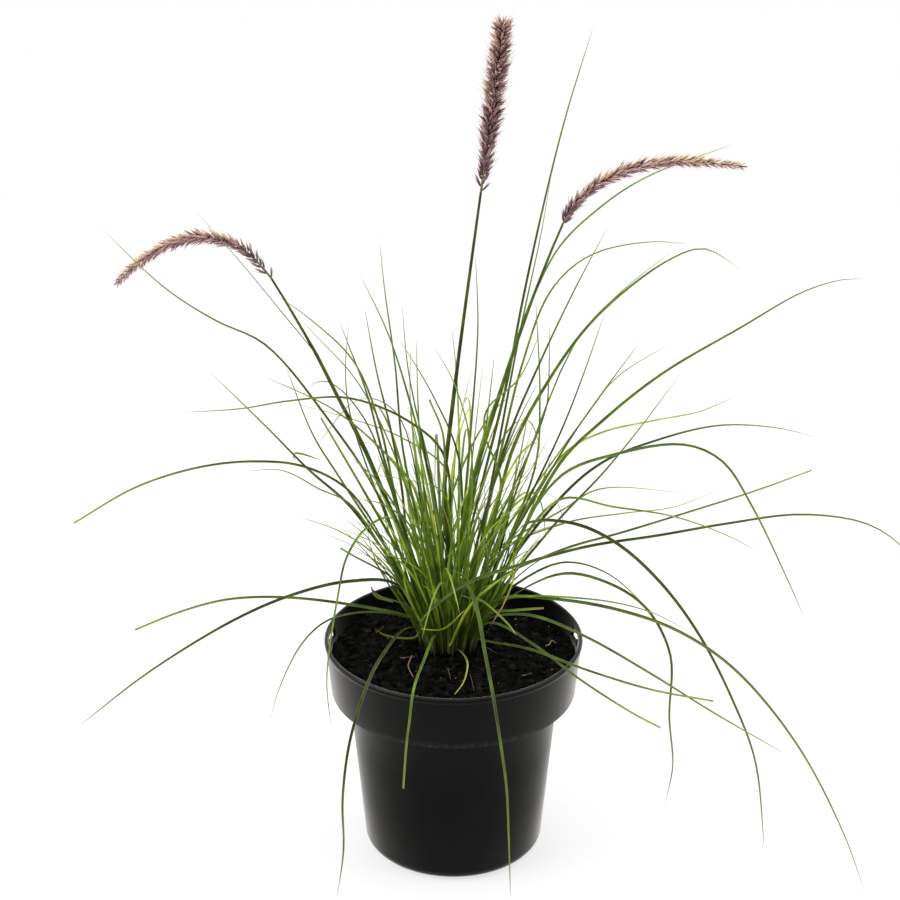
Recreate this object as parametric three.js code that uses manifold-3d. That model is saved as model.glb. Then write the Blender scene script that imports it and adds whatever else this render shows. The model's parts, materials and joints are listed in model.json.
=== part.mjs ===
// Potted foxtail grass: a stepped plastic nursery pot, its soil, three flower stalks with their
// spikes, and a tuft of leafy shoots. Millimetres, +Z up, origin at the middle of the pot's base.

import * as THREE from 'three';
import { mergeVertices } from 'three/addons/utils/BufferGeometryUtils.js';
import Module from 'manifold-3d';

const wasm = await Module();
wasm.setup();

// Driving dimensions

const pot = {
  rimRadius: 95, height: 170, stepHeight: 127, bodyTop: 77.5, bodyFoot: 66, footEdge: 8, wall: 2, sides: 36,
};
const collar = { foot: 90, lip: 2 };
const slot = { height: 3.8, length: 15, z: 163, behindSide: 9 };
const drain = { count: 8, radius: 3.5, fromMiddle: 45, sides: 8 };
const soil = { top: 155, gap: 0.3, crumb: 1.3, mound: 1.5, flat: 39, sides: 28 };
const crown = { x: -3, y: 15, radius: 20, rootDepth: 20, spots: 42 };
const fan = { from: 158, slow: 12, reach: 35 };
const stem = { foot: 1.7, tip: 1.1, low: 184, high: 226, gap: 0.3, sides: 5 };
const eye = { distance: 1731, height: 1100 };
const clear = {
  cell: 4, step: 2, gap: 0.9, free: 16, depthStep: 6, tries: 60, draws: 14, potGap: 2.2,
  spikeShare: 0.8, spikeHalf: 1.5, low: 12,
};
const blade = { thick: 0.85, root: 0.5, wideAt: 0.3, bend: 1.3, top: 0.35, tip: 0.6, twist: 0.9 };
const tuft = {
  middle: 5, edge: 22, slope: 0.56, waist: 300, half: 96, narrow: 0.5, top: 440,
  behindTop: 205, behindHalf: 80,
};

// Colours

const potBlack = { color: 0x1d1e1f, roughness: 0.42, metalness: 0 };
const peatBrown = { color: 0x15120f, roughness: 1, metalness: 0 };
const leafGreens = [0x6f9a36, 0x5c8230, 0x4c6f2e, 0x7fa63c];
const stalkGreen = { color: 0x6a8a3a, roughness: 0.55, metalness: 0 };
const spikePurple = { color: 0x7d565c, roughness: 0.8, metalness: 0 };

// Leaf paths. Each leaf is given as seen from the front: its points across and up, in the upright
// plane through the pot's middle, then how far behind (+) or before (-) that plane its tip is.
// A third number fixes how far behind the plane that point lies. Ends are pointed, cut or dry.

const leaf = (depth, wide, seen, end = 'pointed') => ({ depth, wide, seen, end });

const leftLeaves = [
  leaf(70, 1.8, [[-25, 190], [-53, 282], [-89, 344], [-132, 401], [-166, 419], [-200, 443], [-243, 488]]),
  leaf(-40, 2.2, [[-74, 275], [-104, 305], [-132, 337], [-173, 382]]),
  leaf(-70, 1.8, [[-74, 287], [-107, 307], [-139, 311], [-179, 307], [-227, 291], [-274, 262]], 'cut'),
  leaf(-60, 1.3, [[-74, 277], [-96, 289], [-123, 304], [-151, 303]]),
  leaf(-90, 2.5, [[-42, 213], [-76, 215], [-112, 206], [-156, 186], [-225, 140], [-284, 90]]),
  leaf(30, 2, [[-30, 185], [-76, 196], [-126, 202], [-166, 200], [-200, 190], [-234, 175]], 'cut'),
  leaf(-60, 1.6, [[-31, 184], [-60, 190], [-92, 183], [-112, 163], [-131, 121], [-137, 97]]),
  leaf(-50, 1.7, [[-35, 250], [-46, 267], [-62, 259], [-77, 236], [-85, 200], [-92, 155], [-94, 129],
    [-91, 86]], 'dry'),
  leaf(60, 1.8, [[-6, 314], [-30, 341], [-73, 360], [-116, 358], [-150, 352], [-193, 349]]),
  leaf(85, 1.5, [[-4, 302], [-36, 329], [-72, 344], [-124, 359]]),
  leaf(-30, 1.7, [[-28, 289], [-51, 320], [-86, 352], [-134, 377]]),
  leaf(40, 1.7, [[-42, 285], [-53, 342], [-70, 388], [-100, 420], [-125, 439]]),
  leaf(90, 1.3, [[-40, 310], [-68, 373], [-94, 405], [-109, 422]]),
  leaf(-20, 1.8, [[-50, 315], [-61, 363], [-74, 402], [-80, 420]]),
  leaf(20, 1.3, [[-72, 342], [-76, 379], [-73, 418]]),
  leaf(60, 1.7, [[-37, 289], [-45, 338], [-54, 380], [-62, 429]]),
  leaf(95, 1.7, [[-17, 297], [-29, 350], [-45, 407], [-65, 454]]),
  leaf(120, 1.7, [[-36, 320], [-41, 385], [-48, 444], [-51, 481]]),
  leaf(75, 1.5, [[-20, 315], [-32, 383], [-36, 434]]),
  leaf(-40, 1.7, [[-22, 297], [-25, 352], [-26, 407]]),
  leaf(50, 1.5, [[4, 312], [-14, 361], [-39, 407]]),
  leaf(-30, 1.5, [[13, 317], [1, 370], [-14, 400]]),
  leaf(-50, 2, [[-65, 289], [-81, 320], [-94, 345]], 'cut'),
  leaf(30, 1.5, [[-82, 299], [-100, 332], [-118, 385]]),
  leaf(10, 1.3, [[-38, 345], [-58, 360], [-72, 356], [-98, 322]]),
  leaf(55, 1.3, [[-62, 342], [-87, 372], [-99, 371], [-113, 351]]),
  leaf(-30, 1.8, [[-40, 214], [-73, 236], [-82, 242]], 'cut'),
  leaf(-15, 1.8, [[-43, 219], [-63, 237]], 'cut'),
  leaf(-50, 1.5, [[-7, 286], [-36, 297], [-83, 303]]),
  leaf(-10, 1.5, [[-28, 169], [-49, 170], [-57, 175]], 'dry'),
  leaf(-20, 2, [[-33, 194], [-54, 203], [-59, 208]], 'dry'),
];

const rightLeaves = [
  leaf(110, 1.9, [[38, 374], [47, 428], [60, 496], [75, 564], [93, 629]]),
  leaf(60, 1.8, [[46, 408], [60, 482], [67, 528]]),
  leaf(75, 1.7, [[33, 315], [48, 385], [68, 442], [94, 467], [135, 477], [165, 475]]),
  leaf(-40, 1.7, [[38, 327], [61, 388], [84, 442], [106, 488]]),
  leaf(-25, 2.8, [[41, 317], [65, 370], [99, 421], [149, 464], [173, 472], [201, 455]]),
  leaf(45, 1.3, [[84, 400], [115, 439], [154, 473]]),
  leaf(90, 1.5, [[75, 331], [91, 377], [106, 427]]),
  leaf(60, 1.5, [[81, 325], [101, 358], [132, 405]]),
  leaf(115, 1.4, [[95, 348], [115, 376], [152, 402]]),
  leaf(-20, 2.5, [[75, 308], [106, 343], [147, 379], [201, 414], [242, 440], [268, 449], [287, 450]]),
  leaf(40, 1.8, [[76, 265], [107, 302], [135, 341], [161, 381]]),
  leaf(95, 1.6, [[78, 316], [104, 333], [143, 343], [175, 350], [200, 362]]),
  leaf(65, 2.1, [[75, 280], [106, 310], [143, 327], [188, 339], [230, 337], [261, 329]]),
  leaf(-70, 2, [[76, 299], [117, 317], [165, 324], [192, 311], [215, 275], [243, 217], [259, 181]]),
  leaf(105, 1.8, [[77, 240], [123, 255], [178, 274], [217, 288], [256, 304]], 'cut'),
  leaf(125, 1.4, [[80, 262], [123, 270], [159, 275], [193, 290]]),
  leaf(-90, 1.8, [[76, 281], [115, 275], [160, 267], [200, 251], [222, 238]]),
  leaf(135, 1.4, [[79, 273], [104, 289], [169, 286]]),
  leaf(-100, 2.6, [[51, 261], [86, 262], [118, 246], [150, 215], [180, 172], [208, 115], [227, 63],
    [238, -19]]),
  leaf(-150, 2.8, [[31, 200], [78, 200], [126, 190], [167, 173], [209, 141], [258, 77], [297, 0],
    [318, -57]]),
  leaf(-60, 1.6, [[31, 198], [94, 201], [141, 191], [175, 173]]),
  leaf(-75, 2, [[77, 221], [112, 214], [141, 193], [160, 154], [161, 101], [165, 59], [160, 24]], 'dry'),
  leaf(-50, 1.6, [[77, 230], [111, 222], [148, 187]]),
  leaf(-85, 1.8, [[26, 185], [57, 187], [96, 170], [145, 139], [194, 105], [250, 69]]),
  leaf(-100, 1.8, [[28, 181], [60, 162], [93, 134], [133, 105], [155, 92]], 'dry'),
  leaf(-110, 1.7, [[23, 166], [56, 159], [97, 142], [146, 125], [193, 115]], 'cut'),
  leaf(-40, 1.7, [[34, 293], [22, 333], [24, 352], [46, 375], [61, 411]]),
  leaf(30, 1.6, [[58, 305], [61, 360], [57, 437]]),
  leaf(60, 1.4, [[65, 350], [67, 372], [67, 417]]),
  leaf(85, 1.6, [[13, 345], [17, 415], [15, 470]]),
  leaf(-30, 1.8, [[-7, 329], [-17, 359]], 'cut'),
  leaf(40, 1.4, [[15, 330], [21, 389]]),
  leaf(20, 1.4, [[22, 330], [29, 396]]),
];

const frontLeaves = [
  leaf(-140, 2.2, [[-33, 177, -8], [-54, 151, -50], [-66, 123, -82], [-78, 79, -100], [-84, 29, -118],
    [-84, -15, -130], [-90, -60]]),
  leaf(-108, 1.9, [[-13, 171, -10], [-22, 149, -55], [-30, 123, -92], [-33, 97, -103], [-35, 81, -106],
    [-38, 39]], 'cut'),
  leaf(-160, 2.8, [[9, 213, -34], [17, 193, -54], [23, 157, -76], [30, 116, -100], [35, 81, -116],
    [40, 41, -130], [42, 0, -145], [44, -60]]),
  leaf(-34, 1.5, [[-24, 175], [-9, 175, -26], [9, 192]]),
  leaf(-62, 1.8, [[-3, 161, -12], [13, 196, -38], [38, 219, -54], [44, 221, -57], [37, 197, -60],
    [27, 178]], 'dry'),
  leaf(-50, 1.7, [[18, 200, -34], [39, 181], [46, 171]], 'cut'),
  leaf(-25, 2.2, [[28, 189], [43, 191], [66, 193]], 'dry'),
  leaf(-60, 2.4, [[-25, 180, -36], [9, 213, -62], [47, 228, -68], [100, 244], [147, 252], [199, 262],
    [250, 269], [297, 262], [323, 245], [345, 215]]),
];

// Long leaves that arch over behind, where the tuft and the pot hide them from the front.
const backLeaves = {
  count: 12, azimuth: [45, 135], length: [190, 310], tilt: [70, 125], lean: 0.3, swing: 0.15,
  wide: [1.7, 2.4],
};
// Leaves that fill the tuft, of three kinds: short, upright and arching. Share is how many are of
// that kind or a kind before it; tilt is in radians.
const fillLeaves = { low: 3, high: 4, wide: [1.4, 2.1] };
const fillKinds = [
  { share: 0.2, swing: 0.7, tilt: [0.1, 0.5], length: [50, 110] },
  { share: 0.6, swing: 0.8, tilt: [-0.1, 0.5], length: [120, 220] },
  { share: 1, swing: 0.8, tilt: [0.6, 1.9], length: [170, 280] },
];

// Flower stalks and spikes, as seen from the front, with the depth of the spike's end.

const stalks = [
  {
    name: 'left', depth: 55, foot: 1.7, top: 0.8,
    seen: [[-50, 285], [-63, 320], [-84, 366], [-95, 391], [-115, 430], [-126, 450]],
    spike: [[-132, 458], [-147, 473], [-172, 480.5], [-198, 474], [-222, 458], [-235, 445]],
    flag: [[-95, 391], [-120, 426], [-146, 461], [-177, 500]], flagDepth: 30,
    reach: 5.6, slim: 0.6, taper: 0.3, late: 2.2, lean: 34, count: 84,
  },
  {
    name: 'centre', depth: 12, foot: 1.7, top: 0.9,
    seen: [[-6.5, 290], [-2, 342], [4, 395], [13, 468], [18.7, 513]],
    spike: [[26, 570], [33.5, 634]],
    reach: 8, slim: 0.5, taper: 0.75, late: 6, lean: 38, count: 96,
  },
  {
    name: 'right', depth: -45, foot: 1.7, top: 0.8,
    seen: [[11, 283], [22, 326], [38, 382], [51, 424], [64, 461], [75, 490]],
    spike: [[84, 506], [104, 522], [128, 532], [156, 535], [184, 533], [200, 531]],
    flag: [[51, 424], [72, 472], [98, 500], [130, 523], [189, 547]], flagDepth: 20,
    reach: 5.4, slim: 0.6, taper: 0.3, late: 1.6, lean: 32, count: 84,
  },
];
const flag = { wide: 1.9, twist: 0.4 };
const spikeCore = { share: 0.42, gap: 0.3, wide: 0.32, rings: 9, swell: 2.4 };

// Repeatable random draws: the same numbers each run.
function makeDraw(seed) {
  let state = seed;
  return (low, high) => {
    state = (Math.imul(state, 1664525) + 1013904223) >>> 0;
    return low + (high - low) * state / 4294967296;
  };
}

const degrees = Math.PI / 180;
const goldenAngle = 137.5 * degrees;
const mix = (a, b, share) => a + (b - a) * share;

// A closed geometry as a solid: shared vertices merged, flat triangles dropped, faces outward.
function toSolid(geometry) {
  const bare = geometry.clone();
  bare.deleteAttribute('normal');
  bare.deleteAttribute('uv');
  const merged = mergeVertices(bare, 1e-4);
  const place = merged.attributes.position.array;
  const triangles = [];
  let volume = 0;
  for (let i = 0; i < merged.index.count; i += 3) {
    const corner = [0, 1, 2].map((k) => merged.index.array[i + k]);
    if (corner[0] === corner[1] || corner[1] === corner[2] || corner[2] === corner[0]) continue;
    const [a, b, c] = corner.map((k) => new THREE.Vector3().fromArray(place, 3 * k));
    volume += a.dot(b.cross(c));
    triangles.push(corner);
  }
  const outward = volume < 0 ? triangles.map(([a, b, c]) => [a, c, b]) : triangles;
  const mesh = new wasm.Mesh({
    numProp: 3,
    vertProperties: new Float32Array(place),
    triVerts: new Uint32Array(outward.flat()),
  });
  return new wasm.Manifold(mesh);
}

function toGeometry(solid) {
  const mesh = solid.getMesh();
  const geometry = new THREE.BufferGeometry();
  geometry.setAttribute('position', new THREE.BufferAttribute(new Float32Array(mesh.vertProperties), 3));
  geometry.setIndex(new THREE.BufferAttribute(new Uint32Array(mesh.triVerts), 1));
  return geometry;
}

const group = new THREE.Group();

function addPiece(name, solid, finish) {
  const mesh = new THREE.Mesh(toGeometry(solid), new THREE.MeshStandardMaterial(finish));
  mesh.name = name;
  group.add(mesh);
}

// A closed skin over rings of points, all of the same count; an end ring may be one point.
function skin(rings) {
  const places = rings.flat().flatMap((p) => [p.x, p.y, p.z]);
  const first = [];
  let count = 0;
  for (const ring of rings) {
    first.push(count);
    count += ring.length;
  }
  const faces = [];
  for (let r = 0; r + 1 < rings.length; r += 1) {
    const here = rings[r];
    const next = rings[r + 1];
    const sides = Math.max(here.length, next.length);
    for (let s = 0; s < sides; s += 1) {
      const a = first[r] + s % here.length;
      const b = first[r] + (s + 1) % here.length;
      const c = first[r + 1] + s % next.length;
      const d = first[r + 1] + (s + 1) % next.length;
      if (here.length > 1) faces.push(a, b, d);
      if (next.length > 1) faces.push(a, d, c);
      if (next.length === 1) faces[faces.length - 1] = c;
    }
  }
  const last = rings.length - 1;
  for (let s = 1; s + 1 < rings[0].length; s += 1) {
    faces.push(first[0], first[0] + s + 1, first[0] + s);
  }
  for (let s = 1; s + 1 < rings[last].length; s += 1) {
    faces.push(first[last], first[last] + s, first[last] + s + 1);
  }
  const geometry = new THREE.BufferGeometry();
  geometry.setAttribute('position', new THREE.BufferAttribute(new Float32Array(places), 3));
  geometry.setIndex(faces);
  return geometry;
}

// Points at equal steps along a path, with the share of its length at each.
function evenly(path, count) {
  const lengths = [0];
  for (let i = 1; i < path.length; i += 1) {
    lengths.push(lengths[i - 1] + path[i].distanceTo(path[i - 1]));
  }
  const total = lengths[path.length - 1];
  const points = [];
  let i = 1;
  for (let k = 0; k <= count; k += 1) {
    const target = total * k / count;
    while (i < path.length - 1 && lengths[i] < target) i += 1;
    const share = (target - lengths[i - 1]) / (lengths[i] - lengths[i - 1]);
    points.push(path[i - 1].clone().lerp(path[i], share));
  }
  return { points, total };
}

// The fewest points of a path that stay within a small distance of all of it.
function thin(path, bend) {
  const first = path[0];
  const last = path[path.length - 1];
  const chord = new THREE.Line3(first, last);
  const nearest = new THREE.Vector3();
  let furthest = 0;
  let most = bend;
  for (let i = 1; i < path.length - 1; i += 1) {
    const off = path[i].distanceTo(chord.closestPointToPoint(path[i], true, nearest));
    if (off > most) {
      most = off;
      furthest = i;
    }
  }
  if (furthest === 0) return [first, last];
  return [...thin(path.slice(0, furthest + 1), bend).slice(0, -1), ...thin(path.slice(furthest), bend)];
}

// The share of a path's length at each of its points.
function sharesOf(path) {
  const lengths = [0];
  for (let i = 1; i < path.length; i += 1) {
    lengths.push(lengths[i - 1] + path[i].distanceTo(path[i - 1]));
  }
  return lengths.map((length) => length / lengths.at(-1));
}

function smooth(points) {
  return new THREE.CatmullRomCurve3(points).getPoints(8 * (points.length - 1));
}

function tangentAt(points, i) {
  const before = points[Math.max(i - 1, 0)];
  const after = points[Math.min(i + 1, points.length - 1)];
  return after.clone().sub(before).normalize();
}

// Where a point seen in the upright plane lies when it is moved along its sight line.
function placed(x, z, y) {
  const scale = 1 + y / eye.distance;
  return new THREE.Vector3(scale * x, y, eye.height + scale * (z - eye.height));
}

// Where a point is seen in the upright plane.
function seenAt(point) {
  const scale = 1 + point.y / eye.distance;
  return [point.x / scale, eye.height + (point.z - eye.height) / scale];
}

// Pot

function outerWall(z) {
  const up = (z - pot.stepHeight) / (pot.height - pot.stepHeight);
  if (up > 0) return mix(collar.foot, pot.rimRadius, up);
  return mix(pot.bodyFoot, pot.bodyTop, z / pot.stepHeight);
}

function makePot() {
  const edge = pot.footEdge;
  const outline = [
    [0, 0],
    [outerWall(0) - edge, 0],
    [outerWall(0) - 0.35 * edge, 0.25 * edge],
    [outerWall(edge), edge],
    [outerWall(pot.stepHeight - 0.1), pot.stepHeight - 0.1],
    [collar.foot - 0.5, pot.stepHeight],
    [collar.foot, pot.stepHeight + 1],
    [pot.rimRadius - 0.9, pot.height - 4],
    [pot.rimRadius, pot.height - 2.2],
    [pot.rimRadius - 0.6, pot.height - 0.3],
    [pot.rimRadius - collar.lip, pot.height],
    [pot.rimRadius - collar.lip - 0.9, pot.height - 1.5],
    [collar.foot - pot.wall, pot.stepHeight + pot.wall + 1],
    [pot.bodyTop - pot.wall, pot.stepHeight + pot.wall - 1],
    [outerWall(edge) - pot.wall, edge],
    [outerWall(0) - edge, pot.wall],
    [0, pot.wall],
  ];
  const turned = new THREE.LatheGeometry(outline.map(([r, z]) => new THREE.Vector2(r, z)), pot.sides);
  let solid = toSolid(turned.rotateX(Math.PI / 2));
  for (const side of [slot.behindSide, 180 - slot.behindSide]) {
    const cutter = new THREE.BoxGeometry(20, slot.length, slot.height);
    cutter.translate(outerWall(slot.z), 0, slot.z).rotateZ(side * degrees);
    solid = solid.subtract(toSolid(cutter));
  }
  for (let k = 0; k < drain.count; k += 1) {
    const cutter = new THREE.CylinderGeometry(drain.radius, drain.radius, 4 * pot.wall, drain.sides);
    cutter.rotateX(Math.PI / 2);
    cutter.translate(drain.fromMiddle, 0, 0).rotateZ((k + 0.5) * 2 * Math.PI / drain.count);
    solid = solid.subtract(toSolid(cutter));
  }
  return solid;
}

// Crown: the spots where stems stand in the soil, and the lines along which they fan out.

const spots = [];
for (let i = 0; i < crown.spots; i += 1) {
  const radius = crown.radius * Math.sqrt((i + 0.5) / crown.spots);
  spots.push({ u: radius * Math.cos(i * goldenAngle), v: radius * Math.sin(i * goldenAngle), used: 0 });
}

// Points along a path, close enough together to test it for room.
function spaced(path) {
  const { total } = evenly(path, 1);
  return evenly(path, Math.max(2, Math.ceil(total / clear.step))).points;
}

function spreadAt(z) {
  const rise = Math.max(z - fan.from, 0);
  return 1 + rise * rise / ((rise + fan.slow) * fan.reach);
}

function stemPoint(spot, z) {
  const spread = spreadAt(z);
  return new THREE.Vector3(crown.x + spot.u * spread, crown.y + spot.v * spread, z);
}

// The free spot nearest to where a leaf's first seen point leads back to.
function spotFor(x, y, z, most) {
  const spread = spreadAt(z);
  let u = (x - crown.x) / spread;
  let v = (y - crown.y) / spread;
  const off = Math.hypot(u, v);
  if (off > crown.radius) {
    u *= crown.radius / off;
    v *= crown.radius / off;
  }
  let best = null;
  let nearest = Infinity;
  for (const spot of spots) {
    const distance = Math.hypot(spot.u - u, spot.v - v) + spot.used;
    if (spot.used < most && distance < nearest) {
      nearest = distance;
      best = spot;
    }
  }
  return best;
}

// Room: which node holds each small cell of space, so that pieces of different nodes stay clear.

const held = new Map();
const cellOf = (value) => Math.floor(value / clear.cell);

function hold(owner, points, half) {
  for (const place of points) {
    const key = `${cellOf(place.x)},${cellOf(place.y)},${cellOf(place.z)}`;
    if (!held.has(key)) held.set(key, []);
    held.get(key).push({ owner, place, half });
  }
}

function hasRoom(owner, points, half) {
  for (const p of points) {
    for (let i = -1; i <= 1; i += 1) {
      for (let j = -1; j <= 1; j += 1) {
        for (let k = -1; k <= 1; k += 1) {
          const key = `${cellOf(p.x) + i},${cellOf(p.y) + j},${cellOf(p.z) + k}`;
          for (const other of held.get(key) ?? []) {
            const near = half + other.half + clear.gap;
            if (other.owner !== owner && p.distanceToSquared(other.place) < near * near) return false;
          }
        }
      }
    }
  }
  return true;
}

function clearOfPot(points) {
  for (const p of points) {
    const radius = Math.hypot(p.x, p.y);
    if (p.z < clear.low) return false;
    if (p.z > pot.height + clear.potGap) continue;
    const outside = radius > outerWall(p.z) + clear.potGap;
    const over = p.z > soil.top + soil.mound + clear.potGap && radius < pot.rimRadius - 3 * clear.potGap;
    if (!outside && !over) return false;
  }
  return true;
}

function samplesOf(path) {
  return spaced(path).slice(Math.ceil(clear.free / clear.step));
}

// The path of a listed leaf from its stem out to its tip, with the tip at the given depth.
function listedPath(item, spot, depth) {
  const [firstX, firstZ] = item.seen[0];
  const joinZ = Math.min(Math.max(firstZ - 45, soil.top + 13), spot.top - 4);
  const join = stemPoint(spot, joinZ);
  const [joinX, joinSeenZ] = seenAt(join);
  const lengths = [Math.hypot(joinX - crown.x, joinSeenZ - soil.top)];
  let before = [joinX, joinSeenZ];
  for (const point of item.seen) {
    lengths.push(lengths[lengths.length - 1] + Math.hypot(point[0] - before[0], point[1] - before[1]));
    before = point;
  }
  const total = lengths[lengths.length - 1];
  const joinShare = lengths[0] / total;
  const along = (share) => crown.y + (depth - crown.y) * share;
  const miss = join.y - along(joinShare);
  const points = [stemPoint(spot, joinZ - 12), join];
  item.seen.forEach(([x, z, y], i) => {
    const share = lengths[i + 1] / total;
    const far = y ?? along(share) + miss * (1 - share) / (1 - joinShare);
    points.push(placed(x, z, far));
  });
  return smooth(points);
}

function insideTuft(point) {
  const [x, z] = seenAt(point);
  if (z > tuft.top) return false;
  const half = Math.min(tuft.edge + tuft.slope * (z - soil.top), tuft.half - tuft.narrow * (z - tuft.waist));
  const behindPot = z < tuft.behindTop && Math.abs(x) < tuft.behindHalf;
  return behindPot || Math.abs(x - tuft.middle) < half;
}

// The path of a drawn leaf: it leaves its stem along the stem and tips over as it goes.
function drawnPath(spot, draw, shape) {
  const joinZ = draw(soil.top + 22, spot.top - 4);
  const join = stemPoint(spot, joinZ);
  const start = stemPoint(spot, joinZ - 12);
  const rise = join.clone().sub(start).normalize();
  const lean = Math.acos(rise.z) + shape.lean;
  const bearing = shape.azimuth ?? Math.atan2(spot.v, spot.u);
  const swing = bearing + draw(-shape.swing, shape.swing);
  const points = [start, join];
  const steps = 5;
  for (let k = 1; k <= steps; k += 1) {
    const tilt = mix(lean, lean + shape.tilt, Math.pow(k / steps, 1.5));
    const way = shape.azimuth === undefined ? mix(bearing, swing, k / steps) : swing;
    const side = Math.sin(tilt) * shape.length / steps;
    const last = points[points.length - 1];
    points.push(new THREE.Vector3(
      last.x + side * Math.cos(way),
      last.y + side * Math.sin(way),
      last.z + Math.cos(tilt) * shape.length / steps,
    ));
  }
  return smooth(points);
}

// A blade: flat on top with a keel below, widest at a third of its length.
function bladeSolid(path, wide, end, twist) {
  const points = thin(path, blade.bend);
  const count = points.length - 1;
  const shares = sharesOf(points);
  const chord = points[count].clone().sub(points[0]);
  const across = new THREE.Vector3(chord.y, -chord.x, 0).normalize();
  const rings = points.map((point, i) => {
    const share = shares[i];
    const forward = tangentAt(points, i);
    const side = across.clone().addScaledVector(forward, -across.dot(forward)).normalize();
    side.applyAxisAngle(forward, twist * share);
    const up = side.clone().cross(forward);
    const grown = mix(blade.root, 1, Math.min(share / blade.wideAt, 1));
    const pointed = Math.sqrt(Math.max(1 - Math.pow(share, 3), 0));
    const thinned = end === 'cut' ? mix(1, blade.tip, share) : pointed;
    const half = 0.5 * wide * grown * thinned;
    const keel = blade.thick * mix(1, blade.tip, share);
    if (i === count && end !== 'cut') return [point];
    return [
      point.clone().addScaledVector(side, half).addScaledVector(up, blade.top * keel),
      point.clone().addScaledVector(up, (blade.top - 1) * keel),
      point.clone().addScaledVector(side, -half).addScaledVector(up, blade.top * keel),
    ];
  });
  return toSolid(skin(rings));
}

// A stem along a path, as a prism with few sides; its radius follows the share of its length.
function stemSolid(path, sides, radiusAt) {
  const points = thin(path, 0.4 * blade.bend);
  const shares = sharesOf(points);
  const rings = points.map((point, i) => {
    const forward = tangentAt(points, i);
    const side = new THREE.Vector3(0, 1, 0).cross(forward).normalize();
    const up = forward.clone().cross(side);
    const radius = radiusAt(shares[i]);
    const ring = [];
    for (let s = 0; s < sides; s += 1) {
      const angle = 2 * Math.PI * s / sides;
      ring.push(point.clone().addScaledVector(side, radius * Math.cos(angle))
        .addScaledVector(up, radius * Math.sin(angle)));
    }
    return ring;
  });
  return toSolid(skin(rings));
}

// Stalks

const stalkDraw = makeDraw(7);

function setOutStalk(stalk) {
  const [x, z] = stalk.seen[0];
  const climb = z - soil.top;
  const full = stalk.spike[stalk.spike.length - 1][1] - soil.top;
  stalk.spot = spotFor(x, mix(crown.y, stalk.depth, climb / full), z, 1);
  stalk.spot.used = Infinity;
  const foot = stemPoint(stalk.spot, soil.top + 14);
  const knee = stemPoint(stalk.spot, soil.top + 32);
  const seen = [...stalk.seen, ...stalk.spike];
  const lengths = [0];
  for (let i = 1; i < seen.length; i += 1) {
    lengths.push(lengths[i - 1] + Math.hypot(seen[i][0] - seen[i - 1][0], seen[i][1] - seen[i - 1][1]));
  }
  const start = mix(knee.y, stalk.depth, 0.25);
  const total = lengths[lengths.length - 1];
  const points = seen.map(([px, pz], i) => placed(px, pz, mix(start, stalk.depth, lengths[i] / total)));
  const whole = smooth([stemPoint(stalk.spot, fan.from), foot, knee, ...points]);
  const last = 8 * (2 + stalk.seen.length);
  stalk.culm = [stemPoint(stalk.spot, soil.top - crown.rootDepth), ...whole.slice(0, last + 1)];
  stalk.head = whole.slice(last);
  hold(stalk.name, spaced(stalk.culm), stalk.foot);
  const middle = spaced(stalk.head);
  middle.forEach((point, i) => {
    const forward = tangentAt(middle, i);
    const side = new THREE.Vector3(0, 1, 0).cross(forward).normalize();
    for (let s = 0; s < 8; s += 1) {
      const around = side.clone().applyAxisAngle(forward, s * 45 * degrees);
      const rim = point.clone().addScaledVector(around, clear.spikeShare * stalk.reach);
      hold(`${stalk.name} spike`, [rim], clear.spikeHalf);
    }
  });
}

// One spikelet with its tuft of bristles: a three-sided needle, its foot inside the spike's core.
function spikeletSolid(root, way, length, wide) {
  const side = new THREE.Vector3(0.3, 0.2, 1).cross(way).normalize();
  const ring = [0, 1, 2].map((s) => (
    root.clone().addScaledVector(side.clone().applyAxisAngle(way, s * 120 * degrees), 0.5 * wide)));
  return toSolid(skin([ring, [root.clone().addScaledVector(way, length)]]));
}

function reachAt(stalk, share) {
  const foot = Math.min(1, stalk.slim + spikeCore.swell * share);
  return stalk.reach * foot * mix(1, stalk.taper, Math.pow(share, stalk.late));
}

function makeSpike(stalk) {
  const { points, total } = evenly(stalk.head, Math.round(evenly(stalk.head, 1).total));
  const rings = evenly(stalk.head, spikeCore.rings).points;
  rings[0].addScaledVector(tangentAt(rings, 0), spikeCore.gap);
  const core = rings.map((point, i) => {
    const forward = tangentAt(rings, i);
    const side = new THREE.Vector3(0, 1, 0).cross(forward).normalize();
    const radius = spikeCore.share * reachAt(stalk, i / spikeCore.rings);
    return [0, 1, 2, 3, 4].map((s) => (
      point.clone().addScaledVector(side.clone().applyAxisAngle(forward, s * 72 * degrees), radius)));
  });
  const parts = [toSolid(skin(core))];
  for (let k = 0; k < stalk.count; k += 1) {
    const share = Math.pow((k + 0.5) / stalk.count, 0.94);
    const i = Math.round(mix(2, points.length - 3, share));
    const forward = tangentAt(points, i);
    const side = new THREE.Vector3(0, 1, 0).cross(forward).normalize();
    const around = side.applyAxisAngle(forward, k * goldenAngle);
    const lean = stalk.lean * mix(1, 0.5, Math.pow(share, 6)) * stalkDraw(0.9, 1.1) * degrees;
    const way = forward.clone().multiplyScalar(Math.cos(lean)).addScaledVector(around, Math.sin(lean));
    const inner = 0.5 * spikeCore.share * reachAt(stalk, share);
    const length = (reachAt(stalk, share) - inner) / Math.sin(stalk.lean * degrees) * stalkDraw(0.9, 1.15);
    const root = points[i].clone().addScaledVector(around, inner);
    const wide = spikeCore.wide * reachAt(stalk, share);
    parts.push(spikeletSolid(root, way, Math.min(length, total * (1 - share) + 8), wide));
  }
  return wasm.Manifold.union(parts);
}

// Leaves on their stems

const leafDraw = makeDraw(20261);
const grown = [];

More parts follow.
